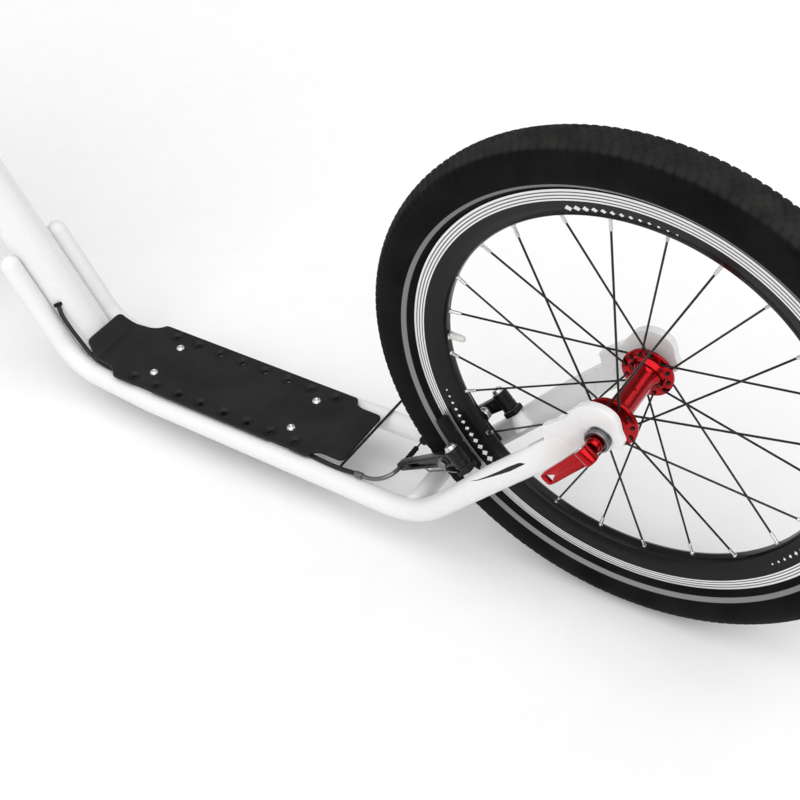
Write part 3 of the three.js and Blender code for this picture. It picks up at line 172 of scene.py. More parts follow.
# the path again at even steps along its length
def evenly(path, step):
    lengths = lengthsAlong(path)
    places = np.linspace(0, lengths[-1], max(2, int(round(lengths[-1] / step)) + 1))
    return np.stack([np.interp(places, lengths, path[:, k]) for k in range(3)], 1)


# Shapes: each is (points, [faces of four], [faces of three])

def gridFaces(rows, cols, wrapRows=False, wrapCols=True):
    r = np.arange(rows if wrapRows else rows - 1)
    c = np.arange(cols if wrapCols else cols - 1)
    r, c = [a.ravel() for a in np.meshgrid(r, c, indexing="ij")]
    r2, c2 = (r + 1) % rows, (c + 1) % cols
    return np.stack([r * cols + c, r * cols + c2, r2 * cols + c2, r2 * cols + c], 1)


def shapeOf(points, quads, tris=None):
    tris = np.zeros((0, 3), int) if tris is None else tris
    return np.asarray(points, float).reshape(-1, 3), quads, tris


def joined(*shapes):
    points, quads, tris, count = [], [], [], 0
    for p, q, t in shapes:
        points.append(p)
        quads.append(q + count)
        tris.append(t + count)
        count += len(p)
    return np.vstack(points), np.vstack(quads), np.vstack(tris)


def flipped(shape):
    return shape[0], shape[1][:, ::-1], shape[2][:, ::-1]


def moved(shape, at=(0, 0, 0), axes=level):
    shape = flipped(shape) if np.linalg.det(axes) < 0 else shape
    return placed(shape[0], at, axes), shape[1], shape[2]


# the other side's copy: y becomes -y
def mirrored(shape):
    return moved(shape, axes=np.diag([1.0, -1, 1]))


# turns all faces round if the enclosed volume comes out negative
def outwards(shape):
    points, quads, tris = shape
    corners = np.vstack([quads[:, :3], quads[:, [0, 2, 3]], tris])
    a, b, c = points[corners[:, 0]], points[corners[:, 1]], points[corners[:, 2]]
    return flipped(shape) if np.sum(np.einsum("ij,ij->i", a, np.cross(b, c))) < 0 else shape


# rings of points joined into a skin, with a fan of faces to one middle point at each end
def fanned(rings, first, last):
    n, m = rings.shape[:2]
    j = np.arange(m)
    j2 = (j + 1) % m
    start = np.stack([j2, j, np.full(m, n * m)], 1)
    end = np.stack([(n - 1) * m + j, (n - 1) * m + j2, np.full(m, n * m + 1)], 1)
    return shapeOf(np.vstack([rings.reshape(-1, 3), first, last]), gridFaces(n, m), np.vstack([start, end]))


# A tube along a path. Ring i is p_i + w_i cos(k) wide_i + h_i sin(k) high_i, with w_i the side direction
# made square to the path and h_i square to both.
def tube(path, wide, high=None, side=across, sides=24):
    path = np.asarray(path, float)
    wide = np.broadcast_to(wide, (len(path),))[:, None, None]
    high = wide if high is None else np.broadcast_to(high, (len(path),))[:, None, None]
    along = unit(np.gradient(path, axis=0))
    w = unit(side - along * (along @ side)[:, None])
    h = np.cross(along, w)
    k = turnsOf(sides)[None, :, None]
    rings = path[:, None] + wide * np.cos(k) * w[:, None] + high * np.sin(k) * h[:, None]
    return fanned(rings, path[0], path[-1])


# A thin tube whose rings follow the path without twisting: each ring's side direction is the last one's
# made square to the path
def wire(path, radius, sides=10):
    along = unit(np.gradient(path, axis=0))
    side = across if abs(along[0][1]) < 0.9 else up
    w = unit(np.cross(np.cross(along[0], side), along[0]))
    k = turnsOf(sides)[:, None]
    rings = np.empty((len(path), sides, 3))
    for i, on in enumerate(along):
        w = unit(w - on * (on @ w))
        rings[i] = path[i] + radius * (np.cos(k) * w + np.sin(k) * np.cross(on, w))
    return fanned(rings, path[0], path[-1])


# A turned part about its own second axis: (r cos k, y, r sin k), the outline given as [r, y].
# A closed outline makes a ring; an open one starts and ends on the axis.
def lathe(outline, sides=48, closed=False, at=(0, 0, 0), axes=level, bump=None):
    r, y = np.asarray(outline, float).T
    if np.sum(r * np.roll(y, -1) - np.roll(r, -1) * y) < 0:
        r, y = r[::-1], y[::-1]
    k = turnsOf(sides)[:, None]
    radius = np.broadcast_to(r, (sides, len(r)))
    if bump is not None:
        radius = radius + bump(k, r, y)
    points = np.stack([radius * np.cos(k), np.broadcast_to(y, radius.shape), radius * np.sin(k)], 2)
    return moved(shapeOf(points, gridFaces(sides, len(r), True, closed)), at, axes)


# A turned part with eased corners: solid where its outline starts on the axis, otherwise a ring
def turned(outline, ease, sides=48, at=(0, 0, 0), axes=level, bump=None):
    outline = np.maximum(outline, [pole, -np.inf])
    hollow = outline[0, 0] > pole
    return lathe(eased(outline, ease, hollow), sides, hollow, at, axes, bump)


# The three directions of a turned part whose own second axis points along a direction
def lookingAlong(along, hint=up):
    y = unit(along)
    x = unit(np.cross(y, ahead if abs(y @ hint) > 0.95 else hint))
    return np.array([x, y, np.cross(x, y)])


def rodShape(a, b, radius, sides=24, ease=0.6):
    a, b = np.asarray(a, float), np.asarray(b, float)
    length = np.linalg.norm(b - a)
    return turned([[0, 0], [radius, 0], [radius, length], [0, length]], ease, sides, a, lookingAlong(b - a))


# half the width of a hexagon at an angle, over half its width across the flats
def hexagon(k):
    return 1 / np.cos((k + pi / 6) % (pi / 3) - pi / 6)


# A hexagon nut, drilled or not
def nutShape(a, b, flats, ease=0.8, hole=0.0):
    a, b = np.asarray(a, float), np.asarray(b, float)
    length, r = np.linalg.norm(b - a), flats / 2
    bore = max(hole, pole)
    outline = [[bore, 0], [r - ease, 0], [r, ease], [r, length - ease], [r - ease, length], [bore, length]]
    return lathe(outline, 36, hole > 0, a, lookingAlong(b - a),
                 lambda k, r, y: np.where(r > hole + 0.5, r * hexagon(k) - r, 0))


# A bolt's head on its washer, with a hexagon socket
def boltHead(at, axis, radius, height, socket):
    axes = lookingAlong(axis)
    washer = turned([[0, 0], [radius + 1.2, 0], [radius + 1.2, 0.9], [0, 0.9]], 0.25, 32, at, axes)
    outline = [[pole, height * 0.45], [socket, height * 0.45], [socket, height * 0.96],
               [socket + 0.4, height], [radius * 0.72, height], [radius * 0.9, height * 0.86],
               [radius, height * 0.6], [radius, 0.6], [pole, 0.6]]

    def sixSided(k, r, y):
        return np.where((r > 0.5) & (r < socket + 0.05), socket * (0.87 * hexagon(k) - 1), 0)

    return joined(washer, lathe(outline, 36, False, at, axes, sixSided))


def oriented(loop, sense):
    loop = np.asarray(loop, float)
    x, y = loop.T
    return loop if np.sum(x * np.roll(y, -1) - np.roll(x, -1) * y) * sense > 0 else loop[::-1]


# the direction into the material at each point of a loop, lengthened at corners so that offsets stay even
def inward(loop):
    on = unit(np.roll(loop, -1, 0) - loop)
    n1 = np.stack([-on[:, 1], on[:, 0]], 1)
    mid = unit(n1 + np.roll(n1, 1, 0))
    return mid / np.maximum(np.sum(mid * n1, 1), 0.35)[:, None]


def ring(centre, radius, count=24):
    k = turnsOf(count)
    return np.stack([centre[0] + radius * np.cos(k), centre[1] + radius * np.sin(k)], 1)


# A flat part with soft edges: the outline and its holes are moved in by e (1 - cos t) while the height
# rises by e sin t, for t from 0 to a right angle at both faces; the faces themselves are filled flat.
# Loops are in the plane of axes[0] and axes[1]; axes[2] is its normal. Corners at x = cutX keep their x.
def slab(outline, holes, low, high, edge, at=(0, 0, 0), axes=level, cutX=None):
    loops = [oriented(outline, 1)] + [oriented(h, -1) for h in holes]
    t = np.linspace(0, pi / 2, 4)
    inset = np.concatenate([edge * (1 - np.sin(t)), edge * (1 - np.cos(t))])
    height = np.concatenate([low + edge * (1 - np.cos(t)), high - edge * (1 - np.sin(t))])
    points, quads, tops, bottoms, rims = [], [], [], [], []
    count = 0
    for loop in loops:
        n = len(loop)
        normal = inward(loop)
        if cutX is not None:
            last = np.abs(loop[:, 0] - cutX) < 1e-6
            normal[last] = np.column_stack([0 * loop[last, 0], -np.sign(loop[last, 1])])
        rows = [np.column_stack([loop + normal * d, np.full(n, z)]) for d, z in zip(inset, height)]
        points.append(np.vstack(rows))
        quads.append(gridFaces(len(rows), n) + count)
        bottoms.append(count + np.arange(n))
        tops.append(count + (len(rows) - 1) * n + np.arange(n))
        rims.append(loop + normal * edge)
        count += n * len(rows)
    filled = np.array(tessellate_polygon([[(x, y, 0) for x, y in rim] for rim in rims]), int).reshape(-1, 3)
    flat = np.vstack(rims)
    a, b, c = flat[filled[:, 0]], flat[filled[:, 1]], flat[filled[:, 2]]
    turn = (b[:, 0] - a[:, 0]) * (c[:, 1] - a[:, 1]) - (c[:, 0] - a[:, 0]) * (b[:, 1] - a[:, 1])
    filled[turn < 0] = filled[turn < 0][:, ::-1]
    top, bottom = np.concatenate(tops), np.concatenate(bottoms)
    tris = np.vstack([top[filled], bottom[filled][:, ::-1]])
    return moved(shapeOf(np.vstack(points), np.vstack(quads), tris), at, axes)


# points in the frame's own metres
def inRow(points):
    return (np.asarray(points, float) - [shift, 0, 0]) * 0.001


# Puts a shape into the scene as one named piece that moves with a body of the CAD model
def piece(name, shape, finish, body, replaces=(), sharp=38, marks=None):
    points, quads, tris = shape
    mesh = bpy.data.meshes.new(name)
    mesh.vertices.add(len(points))
    mesh.vertices.foreach_set("co", inRow(points).ravel())
    loops = np.concatenate([quads.ravel(), tris.ravel()]).astype(np.int32)
    starts = np.concatenate([np.arange(len(quads)) * 4, len(quads) * 4 + np.arange(len(tris)) * 3])
    mesh.loops.add(len(loops))
    mesh.loops.foreach_set("vertex_index", loops)
    mesh.polygons.add(len(starts))
    mesh.polygons.foreach_set("loop_start", starts.astype(np.int32))
    mesh.update(calc_edges=True)
    for key, values in (marks or {}).items():
        mesh.attributes.new(key, "FLOAT", "POINT").data.foreach_set("value", np.asarray(values, np.float32))
    mesh.validate()
    mesh.shade_smooth()
    mesh.set_sharp_from_angle(angle=radians(sharp))
    mesh.materials.append(finish)
    obj = bpy.data.objects.new(name, mesh)
    bpy.context.scene.collection.objects.link(obj)
    if body:
        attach(obj, body)
    if replaces:
        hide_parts(*replaces)
    return obj


# Materials

def newFinish(name, colour, rough, metal=0.0, coat=0.0, specular=0.5, clear=0.0):
    material = bpy.data.materials.new(name)
    material.use_nodes = True
    sockets = material.node_tree.nodes["Principled BSDF"].inputs
    sockets["Base Color"].default_value = (*colour, 1)
    for socket, value in (("Roughness", rough), ("Metallic", metal), ("Coat Weight", coat),
                          ("Coat Roughness", 0.05), ("Specular IOR Level", specular),
                          ("Transmission Weight", clear)):
        sockets[socket].default_value = value
    return material


# Short names for the nodes of one material
class Nodes:
    def __init__(self, material):
        self.tree = material.node_tree
        self.shader = self.tree.nodes["Principled BSDF"]
        self.place = self.add("ShaderNodeTexCoord").outputs["Object"]

    def add(self, kind, **settings):
        node = self.tree.nodes.new(kind)
        for key, value in settings.items():
            setattr(node, key, value)
        return node

    def join(self, source, target):
        self.tree.links.new(source, target)

    # links a socket, or sets a plain value
    def feed(self, value, target):
        if hasattr(value, "is_linked"):
            self.join(value, target)
        else:
            target.default_value = value

    def math(self, operation, *values):
        node = self.add("ShaderNodeMath", operation=operation)
        for i, value in enumerate(values):
            self.feed(value, node.inputs[i])
        return node.outputs[0]

    def most(self, values):
        top = values[0]
        for value in values[1:]:
            top = self.math("MAXIMUM", top, value)
        return top

    def noise(self, scale, detail):
        node = self.add("ShaderNodeTexNoise")
        for socket, value in (("Scale", scale), ("Detail", detail), ("Roughness", 0.5)):
            node.inputs[socket].default_value = value
        self.join(self.place, node.inputs["Vector"])
        return node.outputs["Fac"]

    # noise sent through a ramp of (place, colour or grey) stops
    def spread(self, scale, detail, stops):
        node = self.add("ShaderNodeValToRGB")
        for element, (place, colour) in zip(node.color_ramp.elements, stops):
            element.position = place
            element.color = (*colour, 1) if hasattr(colour, "__len__") else (colour, colour, colour, 1)
        self.join(self.noise(scale, detail), node.inputs["Fac"])
        return node.outputs["Color"]

    def mix(self, factor, a, b):
        node = self.add("ShaderNodeMix", data_type="RGBA")
        self.join(factor, node.inputs["Factor"])
        for socket, value in zip([s for s in node.inputs if s.type == "RGBA"], (a, b)):
            self.feed(value if hasattr(value, "is_linked") else (*value, 1), socket)
        return [s for s in node.outputs if s.type == "RGBA"][0]

    def mark(self, name):
        return self.add("ShaderNodeAttribute", attribute_name=name).outputs["Fac"]

    # 1 from low to high, with soft edges
    def between(self, value, low, high, soft=0.15):
        sides = []
        for a, b in ((low - soft, low + soft), (high + soft, high - soft)):
            node = self.add("ShaderNodeMapRange", interpolation_type="SMOOTHSTEP")
            node.inputs["From Min"].default_value = a
            node.inputs["From Max"].default_value = b
            self.join(value, node.inputs["Value"])
            sides.append(node.outputs[0])
        return self.math("MULTIPLY", *sides)

    def bump(self, height, distance):
        node = self.add("ShaderNodeBump")
        node.inputs["Distance"].default_value = distance
        node.inputs["Strength"].default_value = 1.0
        self.join(height, node.inputs["Height"])
        self.join(node.outputs["Normal"], self.shader.inputs["Normal"])

    def colour(self, socket):
        self.join(socket, self.shader.inputs["Base Color"])

    def rough(self, socket):
        self.join(socket, self.shader.inputs["Roughness"])


paint = {
    "colour": (0.8, 0.8, 0.795), "shade": (0.788, 0.788, 0.782), "rough": 0.26, "peel": 0.000005,
    "dark": 0.004,
}


# Gloss white, or for the stays the same paint with a black wedge where |off| < half
def whitePaint(name, wedge):
    finish = newFinish(name, paint["colour"], paint["rough"], coat=0.0 if wedge else 0.4,
                       specular=0.25 if wedge else 0.5)
    n = Nodes(finish)
    base = n.spread(6, 1, [(0.25, paint["shade"]), (0.7, paint["colour"])])
    if wedge:
        inside = n.math("LESS_THAN", n.math("ABSOLUTE", n.mark("off")), n.mark("half"))
        base = n.mix(inside, base, (paint["dark"],) * 3)
    n.colour(base)
    n.rough(n.spread(20, 1, [(0.3, 0.24), (0.7, 0.3)]))
    n.bump(n.noise(420, 2), paint["peel"])
    return finish


# The other finishes. Tint varies the colour and gloss the roughness, each by noise of a scale and detail sent
# through two stops; grain is a bump by noise of a scale and detail, that many metres deep.
finishLook = {
    "board_black": {
        "colour": (0.008, 0.008, 0.0075), "rough": 0.5, "specular": 0.22,
        "tint": (26, 5, [(0.35, (0.008, 0.008, 0.0075)), (0.75, (0.016, 0.016, 0.015))]),
        "gloss": (340, 2, [(0.3, 0.42), (0.7, 0.62)]), "grain": (2600, 2, 0.00006)},
    "black_alloy": {
        "colour": (0.006, 0.006, 0.0065), "rough": 0.34, "coat": 0.04, "specular": 0.22,
        "gloss": (90, 4, [(0.3, 0.26), (0.72, 0.45)]), "grain": (900, 2, 0.00003)},
    "black_rubber": {
        "colour": (0.006, 0.006, 0.006), "rough": 0.72, "specular": 0.1,
        "tint": (40, 4, [(0.3, (0.007, 0.007, 0.007)), (0.75, (0.015, 0.015, 0.015))]),
        "grain": (1500, 3, 0.00006)},
    "polished_steel": {
        "colour": (0.66, 0.66, 0.67), "rough": 0.22, "metal": 1,
        "gloss": (220, 3, [(0.3, 0.15), (0.7, 0.34)])},
    "dark_steel": {
        "colour": (0.2, 0.2, 0.205), "rough": 0.34, "metal": 1,
        "gloss": (260, 3, [(0.3, 0.24), (0.7, 0.46)]), "grain": (1600, 2, 0.00002)},
    "red_anodised": {
        "colour": (0.44, 0.001, 0.006), "rough": 0.2, "metal": 1, "coat": 0.25,
        "tint": (30, 4, [(0.3, (0.33, 0.001, 0.004)), (0.7, (0.44, 0.001, 0.006))]),
        "gloss": (160, 3, [(0.3, 0.11), (0.7, 0.2)])},
    "valve_cap": {
        "colour": (0.82, 0.82, 0.78), "rough": 0.35, "clear": 0.35,
        "gloss": (900, 2, [(0.3, 0.28), (0.7, 0.42)])},
    "black_spokes": {
        "colour": (0.006, 0.006, 0.006), "rough": 0.35, "specular": 0.3,
        "gloss": (300, 2, [(0.3, 0.24), (0.7, 0.4)])},
    "cable_black": {
        "colour": (0.009, 0.009, 0.0095), "rough": 0.42, "coat": 0.1, "specular": 0.3,
        "gloss": (500, 3, [(0.3, 0.34), (0.7, 0.52)]), "grain": (2400, 2, 0.00002)},
}


def plainFinish(name):
    look = dict(finishLook[name])
    tint, gloss, grain = (look.pop(key, None) for key in ("tint", "gloss", "grain"))
    finish = newFinish(name, **look)
    n = Nodes(finish)
    if tint:
        n.colour(n.spread(*tint))
    if gloss:
        n.rough(n.spread(*gloss))
    if grain:
        n.bump(n.noise(*grain[:2]), grain[2])
    return finish


white = whitePaint("white_paint", False)
wedged = whitePaint("wedged_paint", True)
(boardFinish, alloy, rubber, steel, darkMetal, red,
 capFinish, spokeFinish, cableFinish) = map(plainFinish, finishLook)
print("materials made")


# Wheels. Everything is turned about the axle; the marks say how far out a point is and at what angle.

tyreLook = {
    "section": [[0.3, 10.5], [6.9, 11.9], [9.4, 15.6], [14.2, 20.4], [20.5, 23.8], [27.5, 24.5],
                [34.5, 23.3], [40.6, 20.3], [44.8, 16.9], [47.8, 12.6], [49.7, 7.2], [50.5, 0]],
    "inside": [[0.3, -7], [30, -20], [44, -12], [46.3, 0], [44, 12], [30, 20], [0.3, 7]],
    "blockPitch": 8.8, "blockFrom": 36, "groove": 1.7, "samples": 5, "shoulder": 22, "grooves": (6, 12),
    "stripeLow": 11.2, "stripeHigh": 14.8, "wornFrom": 43.5, "ribbed": (16, 38), "grain": 0.00007,
}


# Tyre skin: (R(v) + groove(k, y)) about the axle. The groove is cut where the slanted block lines
# (k + slant |y|) blocks / 2 pi pass a half, and along the tread at fixed y.
def tyreShape(bead, centre):
    look = tyreLook
    whole = curveThrough(look["section"], 221)
    half = np.vstack([whole[:130:12], whole[130::5]])
    outline = np.vstack([half, (half * [1, -1])[::-1][1:], look["inside"]])[::-1] + [bead, 0]
    radius = bead + 51
    blocks = int(round(2 * pi * radius / look["blockPitch"]))

    def tread(k, r, y):
        off = np.abs(y)
        slant = np.where(off < look["grooves"][0], 0.16, -0.1) / radius * 10
        line = np.abs(((k + slant * off / 4) * blocks / (2 * pi) + 0.5 * (y > 0)) % 1 - 0.5)
        between = 1 - np.clip((line - 0.08) / 0.1, 0, 1)
        along = np.max([1 - np.clip(np.abs(off - place), 0, 1) for place in look["grooves"]], 0)
        fade = np.clip((look["shoulder"] - off) / 1.5, 0, 1) * (r > bead + look["blockFrom"])
        onSkin = np.arange(len(r)) >= len(look["inside"])
        return -look["groove"] * np.maximum(between, along) * fade * onSkin

    return lathe(outline, blocks * look["samples"], True, centre, bump=tread)


def tyreFinish():
    look = tyreLook
    finish = newFinish("tyre_rubber", (0.006, 0.006, 0.006), 0.7, specular=0.06)
    n = Nodes(finish)
    out = n.mark("out")
    base = n.spread(30, 5, [(0.3, (0.003, 0.003, 0.003)), (0.75, (0.009, 0.009, 0.0088))])
    worn = n.spread(55, 4, [(0.3, (0.014, 0.014, 0.0135)), (0.7, (0.026, 0.0255, 0.0245))])
    base = n.mix(n.between(out, look["wornFrom"], 60, 1.5), base, worn)
    stripe = n.between(out, look["stripeLow"], look["stripeHigh"], 0.2)
    n.colour(n.mix(stripe, base, (0.22, 0.22, 0.215)))
    n.rough(n.math("SUBTRACT", 0.7, n.math("MULTIPLY", stripe, 0.3)))
    ribs = n.math("SINE", n.math("MULTIPLY", out, 9.0))
    wall = n.math("MULTIPLY", n.between(out, *look["ribbed"], 1.5), 0.25)
    n.bump(n.math("ADD", n.noise(1300, 3), n.math("MULTIPLY", ribs, wall)), look["grain"])
    return finish


rimLook = {
    "section": [[-22.5, 0], [-22.5, 3.2], [-20.6, 6.6], [-12.5, 10.4], [-5.2, 12.3], [-4.3, 12.5],
                [6.2, 12.5], [6.5, 12.2], [6.5, 11.2], [-0.5, 11], [-0.5, 5.5], [-3.4, 4.6], [-3.4, 0]],
    "black": (0.006, 0.006, 0.006), "white": (0.8, 0.8, 0.79), "silver": (0.84, 0.84, 0.85),
    "worn": (0.14, 0.14, 0.145), "trackLow": -4.2, "trackHigh": 5.9, "lines": [-2.3, 0.5, 3.3],
    "lineHalf": 0.56, "starts": [73.16, -46.84, -166.84], "diamonds": 13, "diamondOut": -12.2,
    "diamondStep": 2.28, "diamondHalf": 3.0, "largest": 0.46, "shrink": 0.027,
}


def rimShape(bead, centre):
    half = eased(rimLook["section"], 0.5, closed=False, steps=2)
    return lathe(np.vstack([half, (half * [1, -1])[::-1][1:-1]]) + [bead, 0], 180, True, centre)


# White diamonds on the black face: |a| / w + |o| / h < 1, with a the angle from the diamond's middle and
# o the distance from the row's circle; their size falls off along the row.
def diamonds(n, out, turn, start):
    look = rimLook
    along = n.math("DIVIDE", n.math("SUBTRACT", turn, start), look["diamondStep"])
    index = n.math("FLOOR", along)
    within = n.math("ABSOLUTE", n.math("SUBTRACT", n.math("SUBTRACT", along, index), 0.5))
    size = n.math("SUBTRACT", look["largest"], n.math("MULTIPLY", index, look["shrink"]))
    rise = n.math("DIVIDE", n.math("ABSOLUTE", n.math("SUBTRACT", out, look["diamondOut"])),
                  n.math("MULTIPLY", size, look["diamondHalf"] / 0.4))
    inside = n.math("LESS_THAN", n.math("ADD", n.math("DIVIDE", within, size), rise), 1.0)
    begun = n.math("GREATER_THAN", along, 0.0)
    row = n.math("MULTIPLY", begun, n.math("LESS_THAN", along, float(look["diamonds"])))
    return n.math("MULTIPLY", inside, row)


def rimFinish():
    look = rimLook
    finish = newFinish("rim_face", look["black"], 0.22, coat=0.05, specular=0.16)
    n = Nodes(finish)
    out, turn = n.mark("out"), n.mark("turn")
    track = n.between(out, look["trackLow"], look["trackHigh"], 0.12)
    half = look["lineHalf"]
    lines = n.most([n.between(out, at - half, at + half, 0.1) for at in look["lines"]])
    rows = n.most([diamonds(n, out, turn, start) for start in look["starts"]])
    painted = n.mix(rows, look["black"], look["white"])
    n.colour(n.mix(track, painted, n.mix(lines, look["silver"], look["worn"])))
    n.join(n.math("MULTIPLY", track, 0.55), n.shader.inputs["Metallic"])
    n.rough(n.math("ADD", 0.2, n.math("MULTIPLY", track, 0.14)))
    grain = n.math("MULTIPLY", n.noise(700, 3), 0.08)
    n.bump(n.math("SUBTRACT", grain, n.math("MULTIPLY", lines, track)), 0.0001)
    return finish


tyreMaterial = tyreFinish()
rimMaterial = rimFinish()


def turnMarks(points, centre, bead):
    x, z = points[:, 0] - centre[0], points[:, 2] - centre[2]
    return {"out": np.hypot(x, z) - bead, "turn": np.degrees(np.arctan2(z, x))}


spokeLook = {
    "count": 24, "radius": 1.0, "firstAngle": -96.4, "cross": 30, "circle": 20, "face": 36.4, "thick": 3.4,
    "offset": 2, "tipDepth": 24.5, "headGap": 0.9, "nipple": 12.5, "nippleRadius": 2.1, "nippleShank": 1.6,
    "nippleOut": 3.4,
}


# Even spokes go to the left flange. By twos they lead and trail, and meet it a cross angle on or back.
def spokeAngles(index):
    angle = spokeLook["firstAngle"] + index * 360 / spokeLook["count"]
    leads = (index // 2) % 2 == 0
    return angle, angle + (1 if leads == (index % 2 == 0) else -1) * spokeLook["cross"]


def onCircle(angle, radius, y=0):
    return radius * direction(angle) + across * y


# One spoke: its head on one side of the flange, through the hole, round an elbow and straight to its nipple.
def spokeShapes(index, bead):
    look = spokeLook
    side = 1 if index % 2 == 0 else -1
    angle, hubAngle = spokeAngles(index)
    faces = side * (look["face"] + look["headGap"]), side * (look["face"] - look["thick"] - look["headGap"])
    headY, elbowY = faces if (index // 4) % 2 == 0 else faces[::-1]
    tip = onCircle(angle, bead - look["tipDepth"], side * look["offset"])
    hole = onCircle(hubAngle, look["circle"])
    start, elbow = hole + across * headY, hole + across * elbowY
    straight = unit(tip - elbow)
    bend = curveThrough([start, hole + across * (headY * 0.4 + elbowY * 0.6), elbow + (start - elbow) * 0.12,
                         elbow + straight * 1.4, elbow + straight * 4], 14)
    run = elbow + straight * np.linspace(8, np.linalg.norm(tip - elbow), 5)[:, None]
    head = turned([[0, -0.5], [2, -0.4], [1.7, 0.6], [0, 1.1]], 0.3, 12, start, lookingAlong(start - elbow))
    spoke = joined(wire(np.vstack([bend, run]), look["radius"], 8), head)
    length, r, shank = look["nipple"], look["nippleRadius"], look["nippleShank"]
    outline = [[0, 0], [1.35, 0], [shank, 0.8], [shank, length - 3.6], [r, length - 3], [r, length],
               [0, length]]
    end = tip - straight * (length - look["nippleOut"])
    return spoke, turned(outline, 0.25, 10, end, lookingAlong(straight))


hubLook = {
    "waist": [[10.7, 0], [10.9, 12], [11.3, 22], [13.6, 29], [17.2, 33.4]],
    "end": [[17.5, 36.4], [14.6, 36.9], [12.9, 38], [12.6, 42.3], [11.4, 43], [9.4, 43]],
    "flange": 24.5, "flangeBore": 10.5, "hole": 1.5, "edge": 0.7,
}


# Hub: a turned shell between two drilled flanges. The shell's waist is a smooth curve through its stations.
def hubShape(centre):
    look = hubLook
    half = np.vstack([curveThrough(look["waist"], 26), eased(look["end"], 0.7, closed=False)])
    shell = lathe(np.vstack([half, (half * [1, -1])[::-1]]), 64, True, centre)
    outer, inner = spokeLook["face"], spokeLook["face"] - spokeLook["thick"]
    flanges = []
    for first, low, high in ((0, -outer, -inner), (1, inner, outer)):
        angles = [spokeAngles(i)[1] for i in range(first, spokeLook["count"], 2)]
        holes = [ring(onCircle(a, spokeLook["circle"])[[0, 2]], look["hole"], 12) for a in angles]
        holes.insert(0, ring((0, 0), look["flangeBore"], 48))
        disc = ring((0, 0), look["flange"], 96)
        flanges.append(slab(disc, holes, low, high, look["edge"], centre, upright))
    return joined(shell, *flanges)


axleLook = {
    "bore": 2.9, "radius": 5, "half": 55.2, "nutFrom": 43.4, "nutTo": 49.6, "nutFlats": 16, "slip": 0.1,
    "cone": [[5.1, 39], [8.3, 41], [8.3, 43.2], [5.1, 43.2]],
}


def axleShape(centre):
    look = axleLook
    bore, radius, half = look["bore"], look["radius"], look["half"]
    parts = [turned([[bore, -half], [radius, -half], [radius, half], [bore, half]], 0.4, 32, centre)]
    for side in (1, -1):
        ends = [centre + across * side * look[key] for key in ("nutFrom", "nutTo")]
        parts.append(nutShape(*ends, look["nutFlats"], hole=radius + look["slip"]))
        parts.append(turned(np.array(look["cone"]) * [1, side], 0.4, 32, centre))
    return joined(*parts)


# Heights along the skewer are counted from the dropouts' clamping faces
skewerLook = {
    "face": 58.3, "rod": 2.4, "rodHalf": 70,
    "ring": [[2.4, 0], [10.6, 0], [11.6, 1.2], [11.6, 4.2], [10.6, 5.2], [9.4, 5.2], [8.6, 3.4], [2.4, 3.4]],
    "root": [[0, 2], [7.6, 2], [7.6, 9], [6.4, 12.6], [0, 13]],
    "nut": [[2.4, 0], [9.4, 0], [9.4, 3], [8, 6.5], [7.4, 11.5], [5.8, 14], [pole, 14]],
    "ribs": 18, "ribDepth": 0.28,
}


# The skewer with its ring on the left and a ribbed nut on the right, and the round root of the lever
def skewerShape(centre):
    look = skewerLook

    def ribs(k, r, y):
        return look["ribDepth"] * np.sign(np.sin(k * look["ribs"])) * (r > 8.9) * (np.abs(y) < 61.8)

    left = eased(np.array(look["ring"]) + [0, look["face"]], 0.5, closed=False)
    right = eased((np.array(look["nut"]) + [0, look["face"]]) * [1, -1], 0.6, closed=False)
    rod = rodShape(centre - across * look["rodHalf"], centre + across * look["rodHalf"], look["rod"], 16)
    root = turned(np.array(look["root"]) + [0, look["face"]], 0.8, 48, centre)
    return joined(lathe(left, 64, True, centre), lathe(right, 72, False, centre, bump=ribs), rod), root


quickLook = {
    "pivot": 79.6, "half": 2.4, "hole": [[45.5, 0], [57.4, 5], [57.4, -5]],
    "side": [[-5, 6.6], [9, 7.6], [30, 7], [54, 6.8], [61.8, 5.6]],
    "ridge": [[8, -1.8], [40, -0.9], [42, 0], [40, 0.9], [8, 1.8]], "ridgeTop": 2.75,
    "barrel": [[0, -7.9], [6, -7.9], [7, -7], [7, 7], [6, 7.9], [0, 7.9]], "pin": 2.6, "pinHalf": 8.6,
}


# The clamp lever: a flat bar that widens slightly, with a three-cornered hole and a ridge, round a cam barrel
def quickShapes(pivot, along):
    look = quickLook
    side = unit(np.cross(along, across))
    axes = np.array([along, side, across])
    edge = np.array(look["side"])
    outline = eased(np.vstack([edge * [1, -1], edge[::-1]]), 3.2, steps=5)
    blade = slab(outline, [eased(look["hole"], 1.2, steps=4)], -look["half"], look["half"], 1.1, pivot, axes)
    ridge = slab(eased(look["ridge"], 1), [], look["half"] - 0.2, look["ridgeTop"], 0.2, pivot, axes)
    barrel = turned(look["barrel"], 0.5, 40, pivot, axes)
    pin = rodShape(pivot - side * look["pinHalf"], pivot + side * look["pinHalf"], look["pin"], 20)
    return joined(blade, ridge), barrel, pin


valveLook = {
    "stem": [[0, -1], [2.6, -1], [2.6, 24], [3.4, 24], [3.4, 26.5], [2.3, 27.2], [2.3, 31], [0, 31]],
    "cap": [[2.4, 26.2], [3.5, 26.6], [3.4, 34], [2.7, 38.6], [1.4, 39.9], [pole, 40]],
    "nut": (23.2, 25.6), "nutFlats": 8, "thread": 0.12, "flutes": 12,
}


